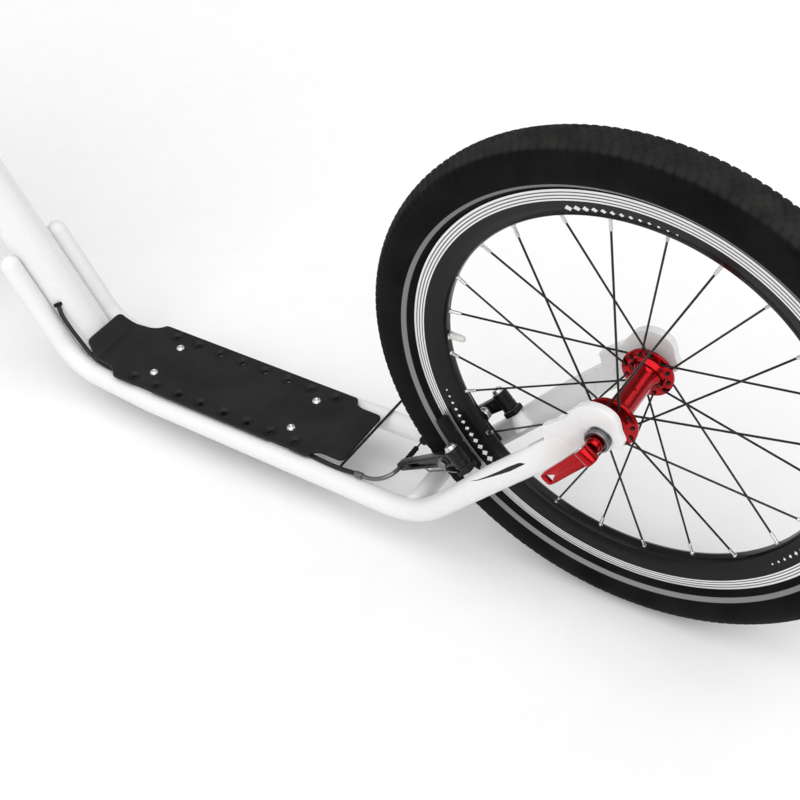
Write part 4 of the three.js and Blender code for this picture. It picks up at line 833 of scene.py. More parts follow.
def valveShapes(bead, centre):
    look = valveLook
    at, axes = centre + ahead * bead, lookingAlong(-ahead)
    stem = turned(look["stem"], 0.3, 24, at, axes,
                  lambda k, r, y: look["thread"] * np.sin(y * 9) * (y < 23) * (r > 2))
    nut = nutShape(*[at - ahead * place for place in look["nut"]], look["nutFlats"])
    cap = lathe(eased(look["cap"], 0.5, closed=False), 24, False, at, axes,
                lambda k, r, y: look["thread"] * np.cos(k * look["flutes"]) * (r > 2.8))
    return joined(stem, nut), cap


airLook = {"middle": 22.5, "high": 20.6, "wide": 16.8}


# Inner tube: an ellipse (middle + high cos t, wide sin t) about the axle
def airShape(bead, centre):
    t = turnsOf(24)
    out = bead + airLook["middle"] + airLook["high"] * np.cos(t)
    return lathe(np.stack([out, airLook["wide"] * np.sin(t)], 1), 96, True, centre)


def buildWheel(end, bead, centre, holder, leverAngle):
    body, lever = end + "_wheel", end + "_lever"
    tyre, rim = tyreShape(bead, centre), rimShape(bead, centre)
    piece(end + "_tyre_skin", tyre, tyreMaterial, body, [end + "_tyre"], 50, turnMarks(tyre[0], centre, bead))
    piece(end + "_air_tube", airShape(bead, centre), rubber, body, [end + "_inner_tube"])
    stem, cap = valveShapes(bead, centre)
    piece(end + "_valve", stem, steel, body)
    piece(end + "_valve_cap", cap, capFinish, body)
    piece(end + "_rim_ring", rim, rimMaterial, body, [end + "_rim"], 50, turnMarks(rim[0], centre, bead))
    spokes, nipples = zip(*[spokeShapes(i, bead) for i in range(spokeLook["count"])])
    piece(end + "_hub_shell", hubShape(centre), red, body, [end + "_hub"])
    piece(end + "_spokes", moved(joined(*spokes), centre), spokeFinish, body)
    piece(end + "_nipples", moved(joined(*nipples), centre), steel, body)
    piece(end + "_axle_parts", axleShape(centre), darkMetal, holder, [end + "_axle"])
    skewer, root = skewerShape(centre)
    piece(end + "_skewer_parts", skewer, darkMetal, holder, [end + "_skewer"])
    piece(end + "_quick_root", root, red, holder)
    blade, barrel, pin = quickShapes(centre + across * quickLook["pivot"], direction(leverAngle))
    piece(end + "_quick_blade", blade, red, lever, [end + "_quick_lever"])
    piece(end + "_quick_cam", barrel, red, lever)
    piece(end + "_quick_pin", pin, steel, lever)
    for side in ("left", "right"):
        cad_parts["%s_%s_bearing" % (end, side)].data.materials[0] = steel


buildWheel("rear", bike["rearBead"], rearHub, "frame", -50.7)
buildWheel("front", bike["frontBead"], frontHub, "steering", 146)
print("wheels made")


# Frame tubes

sideLook = {
    "radius": 11.8, "endX": 52, "endY": 57, "low": (201.6, 52.2, 50.4), "kink": (560, 46.5, 46.8),
    "front": (679, 37.6, 45.7), "rise": 63, "reach": 150, "stayAngle": 46.5, "bends": (90, 300, 55),
    "stay": [[-36, 11.6, 0.8], [-20, 12.6, 1.9], [-4, 13.1, 4.1], [8, 13.2, 6.3], [24, 13.4, 8.6],
             [62, 13.4, 9.8], [95, 13.1, 10.8], [125, 12.4, 11.6], [150, 11.8, 11.8], [180, 11.8, 11.8]],
    "wedge": [[17.8, 4.3, 0], [19.5, 5.2, 1], [24.5, 6.2, 1.7], [40, 6.6, 2.1], [52.5, 7.2, 1.5],
              [71, 8.4, 0.8], [87.8, 9.7, 0.35], [101, 11.9, 0]],
    "lap": 34, "blunt": 7, "tip": 12, "bladeTo": 20,
}
stayLow = np.array(sideLook["low"])
stayEnd = np.array([sideLook["endX"], sideLook["endY"],
                    stayLow[2] + (stayLow[0] - sideLook["endX"]) * tan(radians(sideLook["stayAngle"]))])


# Side member: an oval tube whose height and width follow the stay's sizes; its lower edge stays straight,
# so the middle rises by what the height gains. Both ends close on a quarter of an ellipse.
def sideMember():
    look = sideLook
    front = np.array(look["front"])
    path = bentPath([stayEnd, stayLow, look["kink"], front, front + direction(look["rise"]) * look["reach"]],
                    look["bends"], 18)
    down = unit(path[1] - path[0])
    path = evenly(np.vstack([path[:1] - down * look["lap"], path]), 2.5)
    s = lengthsAlong(path) - look["lap"]
    stations, high, wide = curveThrough(look["stay"], 160).T
    high, wide = np.interp(s, stations, high), np.interp(s, stations, wide)
    path = path + np.outer(high - look["radius"], np.cross(down, across))
    back = np.clip((look["blunt"] - look["lap"] - s) / (look["blunt"] + 0.05), 0, 1)
    tip = np.clip((s - s[-1] + look["tip"]) / (look["tip"] + 0.05), 0, 1)
    close = np.sqrt(1 - back**2) * np.sqrt(1 - tip**2)
    return tube(path, wide * np.where(s < look["bladeTo"], close**0.5, close), high * close, sides=40)


# Where the dark wedge lies on a stay: each point's distance from the wedge's middle line, and the wedge's
# half width there, which is -1 on the inner side and past its ends
def wedgeMarks(points):
    down = unit((stayLow - stayEnd)[[0, 2]])
    place = points[:, [0, 2]] - stayEnd[[0, 2]]
    along, off = place @ down, place @ np.array([-down[1], down[0]])
    stations, middle, half = np.array(sideLook["wedge"]).T
    half = np.interp(along, stations, half, -1, -1)
    return {"off": off - np.interp(along, stations, middle),
            "half": np.where(np.abs(points[:, 1]) > sideLook["endY"], half, -1)}


# Where the brake arms' studs stand: the middle between both, and the brake's own directions
rearStay = np.array([[0.64679, 0, 0.762668], [0, -1, 0], [0.762668, 0, -0.64679]])
brakePlace = {"rear": (152, 0, 148.5), "front": (31, 0, 260.6), "half": 44}
studLook = {
    "foot": [[0, 0], [13, 0], [10.6, 5], [8.6, 10], [7, 14]], "neck": 6.5, "top": 7.2,
    "boltAt": 10.5, "bolt": (5.6, 4.2, 2.6), "rearDepth": 33, "frontDepth": 31,
}


# The stud that a brake arm turns on, with its flared foot
def brakeStud(at, axes, depth):
    neck, top = studLook["neck"], studLook["top"]
    outline = studLook["foot"] + [[neck, depth - 16], [top, depth - 15], [top, depth - 11], [0, depth - 11]]
    return turned(outline, 1.5, 32, placed([-depth, 0, 0], at, axes), lookingAlong(axes[0]))


def studBolt(at, axis):
    return boltHead(at + axis * studLook["boltAt"], axis, *studLook["bolt"])


# An outline with a slot cut into it from below: the two slot lines are followed up from the outline and
# joined by a half circle round the origin.
def slotted(outline, angle, half, steps=16):
    p = oriented(outline, 1)
    count = len(p)
    d = np.array([cos(radians(angle)), sin(radians(angle))])
    n = np.array([-d[1], d[0]])
    hits = []
    for start in (-half * n, half * n):
        crossings = []
        for i in range(count):
            a, b = p[i], p[(i + 1) % count]
            m = np.array([d, a - b]).T
            if abs(np.linalg.det(m)) > 1e-9:
                t, u = np.linalg.solve(m, a - start)
                if t > 0 and 0 <= u <= 1:
                    crossings.append((t, i))
        t, i = min(crossings)
        hits.append((i, start + d * t))
    (first, p1), (last, p2) = hits
    kept = p[(last + 1 + np.arange((first - last) % count or count)) % count]
    k = np.linspace(0, pi, steps + 1)[:, None]
    return np.vstack([kept, p1, -n * half * np.cos(k) - d * half * np.sin(k), p2])


plateLook = {
    "rear": [[32, 8.4], [26.4, 18.3], [21, 25.8], [15.4, 29.8], [9, 32.2], [2.8, 32.7], [-3, 32.2],
             [-8, 30.4], [-12.6, 27.4], [-15.2, 23.4], [-17, 17.6], [-18, 11.1], [-21.9, 3], [-20, -4],
             [-9, -8], [4, -13], [12, -23], [26, -37], [48, -57], [62, -70], [72, -77], [72, -47],
             [51.5, -25], [55.3, -11.5]],
    "front": [[-18, 33], [-2, 36], [5, 20], [13, 11], [16, 0], [13, -10], [6, -15.5], [-6, -16],
              [-14, -9], [-17, 0], [-17, 14]],
    "slot": 5.6, "rearSlot": -115, "frontSlot": -109, "inside": 50, "outside": 58, "edge": 0.9,
    "face": [[5.9, 57.6], [13.6, 57.6], [13.6, 58.15], [5.9, 58.15]],
}


def dropout(outline, angle, at):
    loop = slotted(eased(outline, 2.5, steps=4), angle, plateLook["slot"])
    return slab(loop, [], plateLook["inside"], plateLook["outside"], plateLook["edge"], at, level[[0, 2, 1]])


def clampFace(at):
    return turned(plateLook["face"], 0.2, 40, at)


mainLook = {
    "low": 25.5, "high": 22, "lowEnd": 27, "reach": 330, "join": 455, "last": 0.985,
    "wallFrom": 380, "rimTop": 415.5, "rimInside": 22.1, "headInside": 18.9,
}


# Down tube along B(t) = (1-t)^2 a + 2t(1-t) b + t^2 c with radius r0 + (r1 - r0) t^2; whatever would lie
# inside the head tube is pushed out to its wall.
def downTube():
    look = mainLook
    rise = direction(sideLook["rise"])
    start = np.array(sideLook["front"]) * [1, 0, 1] + rise * (look["lowEnd"] - look["low"])
    path = bezier(start, start + rise * look["reach"], onSteering([0, 0, look["join"]]), 130, look["last"])
    t = np.linspace(0, look["last"], 130)
    points, quads, tris = tube(path, look["low"] + (look["high"] - look["low"]) * t**2, sides=72)
    local = (points - foot) @ leaning.T
    least = np.where(local[:, 2] < look["rimTop"], look["rimInside"], look["headInside"])
    near = (np.hypot(local[:, 0], local[:, 1]) < least) & (local[:, 2] > look["wallFrom"])
    back = np.arctan2(local[near, 1], np.minimum(local[near, 0], -2))
    local[near, 0], local[near, 1] = least[near] * np.cos(back), least[near] * np.sin(back)
    return onSteering(local), quads, tris


headLook = {
    "tube": [[17.1, 406], [22, 406], [22, 413.5], [20.2, 416.5], [20, 466], [20.2, 515.5], [22, 518.5],
             [22, 526], [17.1, 526]],
    "cup": [[14.9, -12], [16.6, -12], [16.6, 0.3], [22.5, 0.3], [22.5, 4.6], [21.9, 5], [21.9, 5.8],
            [22.5, 6.2], [22.5, 10.6], [20.4, 13.1], [14.9, 13.1]],
    "low": 406, "high": 526,
}
carrierLook = {"half": 15, "side": 46, "low": 60.5, "high": 63.9}
crossRod = {"from": (298.6, 43.5, 66), "to": (298.6, -84, 62.5), "radius": 1.5}


def buildFrame():
    pin = np.add(brakePlace["rear"], across * brakePlace["half"])
    left = (joined(sideMember(), brakeStud(pin, rearStay, studLook["rearDepth"])), studBolt(pin, rearStay[0]),
            dropout(plateLook["rear"], plateLook["rearSlot"], rearHub), clampFace(rearHub))
    for name, shapes in (("left", left), ("right", [mirrored(shape) for shape in left])):
        member, bolt, plate, face = shapes
        piece(name + "_member", member, wedged, "frame", [name + "_side_tube"], 50, wedgeMarks(member[0]))
        piece(name + "_stud_bolt", bolt, steel, "frame")
        piece(name + "_plate", plate, white, "frame", [name + "_dropout"])
        piece(name + "_plate_face", face, steel, "frame")
    piece("bridge", rodShape([206, -46, 61], [206, 46, 61], 10, 40, 0.3), white, "frame", ["rear_bridge"])
    piece("main_tube", downTube(), white, "frame", ["down_tube"], sharp=60)
    standing = upright @ leaning
    piece("head", turned(headLook["tube"], 0.7, 72, foot, standing), white, "frame", ["head_tube"])
    for name, face, way in (("lower", headLook["low"], -1), ("upper", headLook["high"], 1)):
        cup = np.array(headLook["cup"]) * [1, way] + [0, face]
        piece(name + "_cup", turned(cup, 0.4, 72, foot, standing), alloy, "frame", [name + "_headset_cup"])
    rod = rodShape(crossRod["from"], crossRod["to"], crossRod["radius"], 16, 0.4)
    piece("cross_rod", rod, alloy, "frame")
    half, side = carrierLook["half"], carrierLook["side"]
    for name, x in zip(("rear", "front"), boardCarriers()):
        loop = eased([[x - half, -side], [x + half, -side], [x + half, side], [x - half, side]], 4, steps=5)
        carrier = slab(loop, [], carrierLook["low"], carrierLook["high"], 0.6)
        piece(name + "_carrier", carrier, white, "frame", [name + "_board_carrier"])


# Footboard

boardLook = {
    "top": 68.2, "thick": 4, "edge": 0.9, "half": 48.3, "from": 337.9, "to": 610.1, "tail": 300.8,
    "tailHalf": 37.1, "nose": 34, "crease": 649, "bend": 9, "angle": 53, "flapEnd": (661.6, 83.0),
    "flapHalf": 29.3, "flapRound": 7, "dimples": 8, "firstDimple": 0.087, "dimpleRun": 0.821, "row": 37.6,
    # funnels this near a carrier get a dark bottom: painted shade in place of a through hole
    "dimple": 7.2, "hole": 3.1, "sink": 2.3, "shadeStopWithin": 24, "carriers": (0.1425, 0.848),
    "screwY": 23.2, "screwHole": 2.9,
    "screw": [[pole, 1.1], [1.7, 1.1], [1.7, 2.5], [2.1, 2.75], [3.4, 2.35], [4.5, 1.4], [5, 0.3],
              [4.9, 0.1], [2.4, 0.1], [2.4, -10.6], [pole, -10.6]],
}
noseStart = boardLook["crease"] - boardLook["bend"] * tan(radians(boardLook["angle"] / 2))


def alongBoard(share):
    return boardLook["from"] + (boardLook["to"] - boardLook["from"]) * share


def boardCarriers():
    return [alongBoard(share) for share in boardLook["carriers"]]


def dimplePlaces():
    shares = boardLook["firstDimple"] + boardLook["dimpleRun"] * np.linspace(0, 1, boardLook["dimples"])
    return [(alongBoard(share), y * boardLook["row"]) for share in shares for y in (1, -1)]


def screwPlaces():
    return [(x, y * boardLook["screwY"]) for x in boardCarriers() for y in (1, -1)]


# The flat plate, with round corners and a step at each end. It stops where the nose starts to bend.
def boardPlate():
    look = boardLook
    half, tail, nose = look["half"], look["tailHalf"], look["nose"]
    a, b, e = look["from"], look["to"], look["tail"]
    side = np.vstack([[noseStart, nose + 0.3], [b + 16, nose + 2.2],
                      bezier((b + 14, nose + 2.6), (b + 7, nose + 4.5), (b + 2, half - 4), 7),
                      bezier((b + 1.4, half - 3), (b, half), (b - 5, half), 5),
                      bezier((a + 5, half), (a + 1, half), (a - 0.5, half - 3), 5),
                      bezier((a - 1.5, half - 5), (a - 4, tail + 0.5), (a - 13, tail), 8),
                      bezier((e + 6, tail), (e, tail), (e, tail - 6), 7)])
    loop = np.vstack([side, (side * [1, -1])[::-1]])
    cuts = [ring(p, look["dimple"], 40) for p in dimplePlaces()]
    cuts += [ring(p, look["screwHole"], 20) for p in screwPlaces()]
    return slab(loop, cuts, look["top"] - look["thick"], look["top"], look["edge"], cutX=noseStart)


# A funnel in the board: a ring whose top falls from the board's face to a small through hole by
# z = top - sink * (1 - cos(pi t)) / 2, with t from 0 to 1, and the same form pushed out below. Those
# beside a carrier get a dark bottom in place of the through hole: painted shade, for the shadow under
# the board that shows through them.
def funnels():
    look = boardLook
    t = np.linspace(0, 1, 9)
    r = look["dimple"] - 0.02 - (look["dimple"] - look["hole"] - 0.3) * t
    upper = np.stack([r, look["top"] - look["sink"] * (1 - np.cos(pi * t)) / 2], 1)
    lower = (upper - [0, look["thick"] * 0.96])[::-1]
    deep = look["top"] - look["thick"] - 0.1
    through = [[look["hole"], upper[-1][1] - 0.5], [look["hole"], lower[0][1] + 0.5]]
    # painted shade: a dark bottom instead of the through hole, as dark as the shade under the board
    shadeStop = [through[0], [look["hole"], deep], [pole, deep], [pole, lower[0][1]]]
    shapes = []
    for x, y in dimplePlaces():
        near = min(abs(x - carrier) for carrier in boardCarriers()) < look["shadeStopWithin"]
        outline = np.vstack([upper, shadeStop if near else through, lower])
        shapes.append(lathe(outline, 40, True, (x, y, 0), upright))
    return joined(*shapes)


# The bent-up nose: rounded rectangles along an arc and a straight, whose half width falls to the flap's and
# then rounds off as half - r + sqrt(r^2 - s^2)
def boardNose():
    look = boardLook
    rounding, thick, e = look["flapRound"], look["thick"] / 2, look["edge"]
    k = np.linspace(0, radians(look["angle"]), 13)
    arc = np.stack([noseStart + look["bend"] * np.sin(k), 0 * k,
                    look["top"] - thick + look["bend"] * (1 - np.cos(k))], 1)
    run = np.array([look["flapEnd"][0], 0, look["flapEnd"][1]]) - arc[-1]
    share = rounding / np.linalg.norm(run)
    rounded = 1 - share * (1 - np.sin(np.linspace(0.15, pi / 2, 9)))
    t = np.concatenate([np.linspace(0.1, 1 - share, 5), rounded])
    path = np.vstack([arc, arc[-1] + np.outer(t, run)])
    s = lengthsAlong(path)
    first = look["nose"] + 0.3
    half = first + (look["flapHalf"] - first) * np.clip((s - 4) / (s[-1] - 11), 0, 1)
    over = np.clip(s - (s[-1] - rounding), 0, rounding)
    half = half - rounding + np.sqrt(np.maximum(rounding**2 - over**2, 0.02))
    along = unit(np.gradient(path, axis=0))
    along[0] = ahead
    corner = np.linspace(0, pi / 2, 4)
    quarter = np.stack([e * np.sin(corner) - e, thick - e + e * np.cos(corner)], 1)
    signs = [(1, 1, 1), (1, -1, -1), (-1, -1, 1), (-1, 1, -1)]  # side, height and the way round of a quarter
    rings = []
    for p, w, high in zip(path, half, np.cross(along, across)):
        section = np.vstack([((quarter + [w, 0]) * [x, z])[::way] for x, z, way in signs])
        rings.append(p + np.outer(section[:, 0], across) + np.outer(section[:, 1], high))
    return outwards(fanned(np.array(rings), path[0], rings[-1].mean(0)))


def buildBoard():
    piece("board_plate", joined(boardPlate(), boardNose()), boardFinish, "frame", ["footboard"], sharp=42)
    piece("board_funnels", funnels(), boardFinish, "frame", sharp=50)
    for i, (x, y) in enumerate(screwPlaces(), 1):
        screw = lathe(boardLook["screw"], 36, False, (x, y, boardLook["top"]), upright,
                      lambda k, r, y: np.where((r > 0.5) & (r < 1.72), 1.45 * hexagon(k) - 1.7, 0))
        piece("board_bolt_%d" % i, screw, steel, "frame", ["board_screw_%d" % i])


# Steering: shapes are given as ahead, left and up its own axis

def inSteering(*shapes):
    points, quads, tris = joined(*shapes)
    return onSteering(points), quads, tris


forkLook = {
    "tip": (36, 57, 24), "bend": (0, 51, 165), "top": (0, 45, 372), "crownEnd": (0, -4, 379.5),
    "bends": (170, 26), "radius": 11.5, "thin": 8, "fullFrom": 0.85,
    "crown": [[0, 366], [19.5, 366.4], [19.5, 384], [17.5, 388], [17.5, 391.4], [14.4, 391.4],
              [14.4, 566], [0, 566]],
}


# Fork leg: a tube whose radius falls evenly from the crown to the axle
def forkLeg():
    look = forkLook
    path = evenly(bentPath([look[key] for key in ("tip", "bend", "top", "crownEnd")], look["bends"], 16), 3)
    share = np.clip(np.linspace(0, 1, len(path)) / look["fullFrom"], 0, 1)
    return tube(path, look["thin"] + (look["radius"] - look["thin"]) * share, side=ahead, sides=36)


def buildFork():
    axle = np.array([float(bike["rake"]), 0, 0])
    pin = np.add(brakePlace["front"], across * brakePlace["half"])
    half = joined(forkLeg(), brakeStud(pin, level, studLook["frontDepth"]),
                  dropout(plateLook["front"], plateLook["frontSlot"], axle))
    crown = turned(forkLook["crown"], 1.2, 56, axes=upright)
    piece("fork_body", inSteering(half, mirrored(half), crown), white, "steering", ["fork"], sharp=50)
    bolt, face = studBolt(pin, ahead), clampFace(axle)
    piece("fork_stud_bolts", inSteering(bolt, mirrored(bolt)), steel, "steering")
    piece("fork_plate_faces", inSteering(face, mirrored(face)), steel, "steering")


stemLook = {
    "reach": (60, 0, 580), "arm": [(8, 0, 557.5), (52, 0, 576.5)], "armSize": (13.2, 13.8),
    "clamp": [[14.5, 539.9], [18.3, 539.9], [18.3, 578.7], [14.5, 578.7]],
    "hold": [[11.2, -22.8], [17.8, -22.8], [17.8, 22.8], [11.2, 22.8]],
    "lug": [[8, -6], [21.5, -6], [21.5, 6], [8, 6]], "lugUp": 14, "lugOut": 16, "lugHalf": 4.5,
    "lugBoltAt": 21.4, "lugBolt": (3.2, 3.2, 1.7),
    "pinch": [[-24, -5], [-14, -5], [-14, 5], [-24, 5]], "pinchAt": (547, 571), "pinchHalf": 7,
    "pinchBoltAt": (-19.5, 6.9), "pinchBolt": (2.9, 3, 1.6),
    "cap": [[0, 579.4], [16.5, 579.4], [16.5, 581.8], [14, 584.2], [6, 584.3], [5.2, 583.4], [0, 583.4]],
    "capBolt": (3.6, 3.4, 2),
}


# The stem: a clamp round the steerer, an oval arm and a split hold for the bar with four lugs
def buildStem():
    look = stemLook
    reach = np.array(look["reach"], float)
    parts = [turned(look["clamp"], 1.4, 64, axes=upright),
             tube(evenly(np.array(look["arm"]), 4), *look["armSize"], sides=48),
             turned(look["hold"], 1.6, 64, reach)]
    bolts = []
    face = unit([1, 0, 0.35])
    over = np.cross(face, across)
    for s, y in ((1, 1), (1, -1), (-1, 1), (-1, -1)):
        at = reach + over * s * look["lugUp"] + across * y * look["lugOut"]
        lug = slab(eased(look["lug"], 2), [], -look["lugHalf"], look["lugHalf"], 1)
        parts.append(moved(lug, at, np.array([face, across, -over])))
        bolts.append(boltHead(at + face * look["lugBoltAt"], face, *look["lugBolt"]))
    pinch = slab(eased(look["pinch"], 2), [], -look["pinchHalf"], look["pinchHalf"], 1)
    for z in look["pinchAt"]:
        parts.append(moved(pinch, up * z, upright))
        bolts.append(boltHead(np.array([*look["pinchBoltAt"], z]), across, *look["pinchBolt"]))
    piece("stem_body", inSteering(*parts), alloy, "steering", ["stem"])
    piece("stem_bolts", inSteering(*bolts), steel, "steering")
    cap = turned(look["cap"], 0.6, 56, axes=upright)
    piece("top_cap", inSteering(cap), alloy, "steering", ["headset_cap"])
    piece("top_cap_bolt", inSteering(boltHead(up * 583, up, *look["capBolt"])), steel, "steering")


barLook = {
    "radius": 11.1, "centre": 45, "riseY": 140, "rise": 92, "back": 4, "sweep": 23, "drop": 4, "half": 305,
    "bends": (50, 40), "bulge": 0.05, "bulgeHalf": 58,
}


def barCorners(side):
    look = barLook
    back, rise = look["back"], look["rise"]
    corners = [[0, look["centre"], 0], [-back, look["riseY"], rise],
               [-back - look["sweep"], look["half"], rise + look["drop"]]]
    return stemLook["reach"] + np.array(corners) * [1, side, 1]


# Bar: straight runs with rounded bends, a little thicker where the stem holds it
def buildBar():
    look = barLook
    corners = np.vstack([barCorners(-1)[::-1], barCorners(1)])
    path = evenly(bentPath(corners, look["bends"] + look["bends"][::-1], 14), 4)
    middle = np.clip((look["bulgeHalf"] - np.abs(path[:, 1])) / 16, 0, 1)
    shape = tube(path, look["radius"] + look["bulge"] * middle, side=ahead, sides=40)
    piece("bar", inSteering(shape), alloy, "steering", ["handlebar"])


# A place on one end of the bar with its directions: forward and down, outwards, and square to both
def barEnd(side, y):
    bend, end = barCorners(side)[1:]
    out = unit(end - bend)
    fore = direction(-50)
    fore = unit(fore - out * (fore @ out))
    return bend + out * (y - barLook["riseY"]) / abs(out[1]), np.array([fore, out, np.cross(fore, out)])


gripLook = {
    "from": 186, "length": 122, "radius": 14.4, "rib": 4.2, "depth": 0.9, "bore": 11.5,
    "lip": [[11.5, 0.2], [17.3, 0.2], [17.3, 3.4], [14.8, 6.6]],
    "end": [[14.8, -6], [15.9, -2], [15.9, 3.6], [pole, 3.9]],
}


# Grip: a sleeve with ribs r = R + depth * |sin(pi y / rib)|^0.5 between its inner lip and rounded end
def gripShape():
    look = gripLook
    length = look["length"]
    y = np.linspace(8, length - 8, 168)
    ribs = look["radius"] + look["depth"] * np.abs(np.sin(pi * y / look["rib"])) ** 0.5
    return np.vstack([[look["bore"], 0.2], eased(look["lip"], 0.8, closed=False)[1:],
                      np.stack([ribs, y], 1), eased(np.array(look["end"]) + [0, length], 1.4, closed=False),
                      [[pole, length + 0.4], [look["bore"], length + 0.4]]])


def buildGrips():
    for side, name in ((1, "left"), (-1, "right")):
        shape = outwards(lathe(gripShape(), 64, True, *barEnd(side, gripLook["from"])))
        piece(name + "_grip_sleeve", inSteering(shape), rubber, "steering", [name + "_grip"])


# x is forward from the bar, y along it and z square to both
leverLook = {
    "at": 172, "reach": 30,
    "blade": [[0, 0, 0.72], [5, 9, 0.72], [10, 19, 1.0], [14, 34, 0.92], [16, 62, 0.86], [19, 90, 0.95],
              [24, 104, 0.85]],
    "thick": 3.5, "half": 6, "ball": (24, 106, 0), "ballRadius": 5.4, "eye": 6.4, "eyeHalf": 4.4,
    "clamp": [[11.5, -6.4], [15.3, -6.4], [15.3, 6.4], [11.5, 6.4]],
    "cheek": [[9, -6.4], [26, -6.4], [36.4, -3], [36.4, 3.5], [30, 6.4], [9, 6.4]], "cheeksAt": (-7.9, 5.0),
    "web": [[10, -6.2], [23, -6.2], [22, 6.2], [10, 6.2]],
    "lug": [[-21, -5], [-12, -5], [-12, 5], [-21, 5]],
    "barrel": [[2.9, -33], [4.2, -33], [4.2, -26], [5.6, -25.6], [5.6, -17], [4.4, -16], [4.4, -9],
               [6.2, -6], [2.9, -6]],
    "barrelAt": (24, 0, 0), "pin": 2.3, "pinHalf": 8.4, "screwAt": (-16.5, 0, 5.4), "screw": (2.6, 2.6, 1.4),
}


# Lever blade: an oval swept through its stations, ending in a ball
def bladeShape():
    look = leverLook
    stations = curveThrough(look["blade"], 64)
    blade = tube(stations * [1, 1, 0], look["thick"], look["half"] * stations[:, 2], side=ahead, sides=28)
    eye = rodShape((0, 0, -look["eyeHalf"]), (0, 0, look["eyeHalf"]), look["eye"], 36, 0.5)
    t = np.linspace(-pi / 2, pi / 2, 9)
    arc = np.stack([np.maximum(look["ballRadius"] * np.cos(t), pole), look["ballRadius"] * np.sin(t)], 1)
    return joined(blade, eye, lathe(arc, 32, False, look["ball"]))


# Lever bracket: a clamp with its lug, two cheeks and a web, and the knurled barrel that adjusts the cable
def bracketShape():
    look = leverLook
    cheeks = [slab(eased(look["cheek"], 2.4, steps=4), [], z, z + 2.9, 0.7) for z in look["cheeksAt"]]
    web = slab(eased(look["web"], 1.5), [], -6, 6, 1)
    lug = slab(eased(look["lug"], 1.6), [], -5.5, 5.5, 1)
    barrel = turned(look["barrel"], 0.5, 36, look["barrelAt"],
                    bump=lambda k, r, y: 0.3 * np.sign(np.sin(k * 12)) * (r > 5.3) * (y < -16.5))
    return joined(turned(look["clamp"], 1, 56), *cheeks, web, lug, barrel)


def buildLevers():
    look = leverLook
    bracket, blade = bracketShape(), bladeShape()
    ends = [(look["reach"], 0, s * look["pinHalf"]) for s in (-1, 1)]
    screw = boltHead(np.array(look["screwAt"]), up, *look["screw"])
    pin = joined(rodShape(*ends, look["pin"], 24, 0.4), screw)
    for side, name in ((1, "left"), (-1, "right")):
        at, axes = barEnd(side, look["at"])
        pivot = at + axes[0] * look["reach"]
        clamp, screws, finger = (inSteering(outwards(moved(shape, place, axes)))
                                 for shape, place in ((bracket, at), (pin, at), (blade, pivot)))
        piece(name + "_clamp", clamp, alloy, "steering", [name + "_lever_bracket"])
        piece(name + "_clamp_pin", screws, steel, "steering")
        piece(name + "_blade", finger, alloy, name + "_lever", [name + "_brake_lever"])


# Brakes: x along the pins, z away from the axle, y = 0 at the wheel's middle

armLook = {
    "tipY": 20, "length": 112, "thick": 4.9, "tip": 4.9, "slot": (40, 90), "slotHalf": 2,
    "foot": [[-7, 0], [-7, -3], [7, -3], [7, 0]],
    "flank": [[7, 8], [6.5, 16], [6.3, 30], [5.6, 70], [4.9, 104]],
    "barrel": [[4.4, -9.9], [7.3, -9.9], [7.9, -8.9], [7.9, -4], [7.5, -3.6], [7.5, -3], [7.9, -2.6],
               [7.9, 8.9], [7.2, 9.9], [4.4, 9.9]],
}


def halfRound(count):
    k = np.linspace(0, pi, count)
    return np.stack([np.cos(k), np.sin(k)], 1)


# Brake arm: a flat bar with a long slot that leans in from its barrel
def armShape(side):
    look = armLook
    lean = atan2(brakePlace["half"] - look["tipY"], look["length"])
    along = np.array([0, -side * sin(lean), cos(lean)])
    at, axes = across * side * brakePlace["half"], np.array([ahead, along, np.cross(ahead, along)])
    low, high = look["slot"]
    bow = look["slotHalf"] * halfRound(7)
    flank = np.array(look["flank"])
    outline = np.vstack([eased(look["foot"], 1.5, closed=False), flank,
                         look["tip"] * halfRound(9) + [0, look["length"]], (flank * [-1, 1])[::-1]])
    slot = np.vstack([bow + [0, high], [0, low] - bow])
    bar = slab(outline, [slot], -look["thick"], look["thick"], 1.5, at, axes)
    return joined(bar, turned(look["barrel"], 0.3, 48, at, lookingAlong(ahead)))


blockLook = {
    "arc": 9, "track": 1.1, "high": 5, "face": 14.5, "back": 24.4, "ease": 1.2, "end": 2.2,
    "grooves": (-14, 0, 14), "grooveHalf": 1.4, "depth": 1.6,
}


# Brake block: a rounded rectangle swept along the rim, which narrows by sqrt(1 - s^2) at its ends, with
# three grooves across its face
def blockShape(side, wheelX, wheelZ, track):
    look = blockLook
    half = radians(look["arc"]) * bike["rearBead"] / track
    t = np.linspace(-1, 1, 90)[:, None]
    s, length = t * track * half, track * half
    over = np.clip(np.abs(s) - (length - look["end"]), 0, look["end"])
    taper = np.sqrt(np.maximum(1 - (over / (look["end"] + 0.05)) ** 2, 0.02))
    groove = look["depth"] * sum(np.clip(look["grooveHalf"] - np.abs(s - g), 0, 1) for g in look["grooves"])
    corner = np.linspace(0, pi / 2, 4)
    high = look["high"] * (0.55 + 0.45 * taper) + look["ease"] * (np.sin(corner) - 1)
    front = look["face"] + groove + look["ease"] * (2 - taper - np.cos(corner))
    back = look["back"] - look["ease"] * (2 - taper - np.cos(corner))
    radius = track + np.hstack([high, high[:, ::-1], -high, -high[:, ::-1]])
    y = side * np.hstack([front, back[:, ::-1], back, front[:, ::-1]])
    a = atan2(-wheelZ, -wheelX) + t * half
    rings = np.stack([wheelX + radius * np.cos(a), y, wheelZ + radius * np.sin(a)], 2)
    return outwards(fanned(rings, rings[0].mean(0), rings[-1].mean(0)))


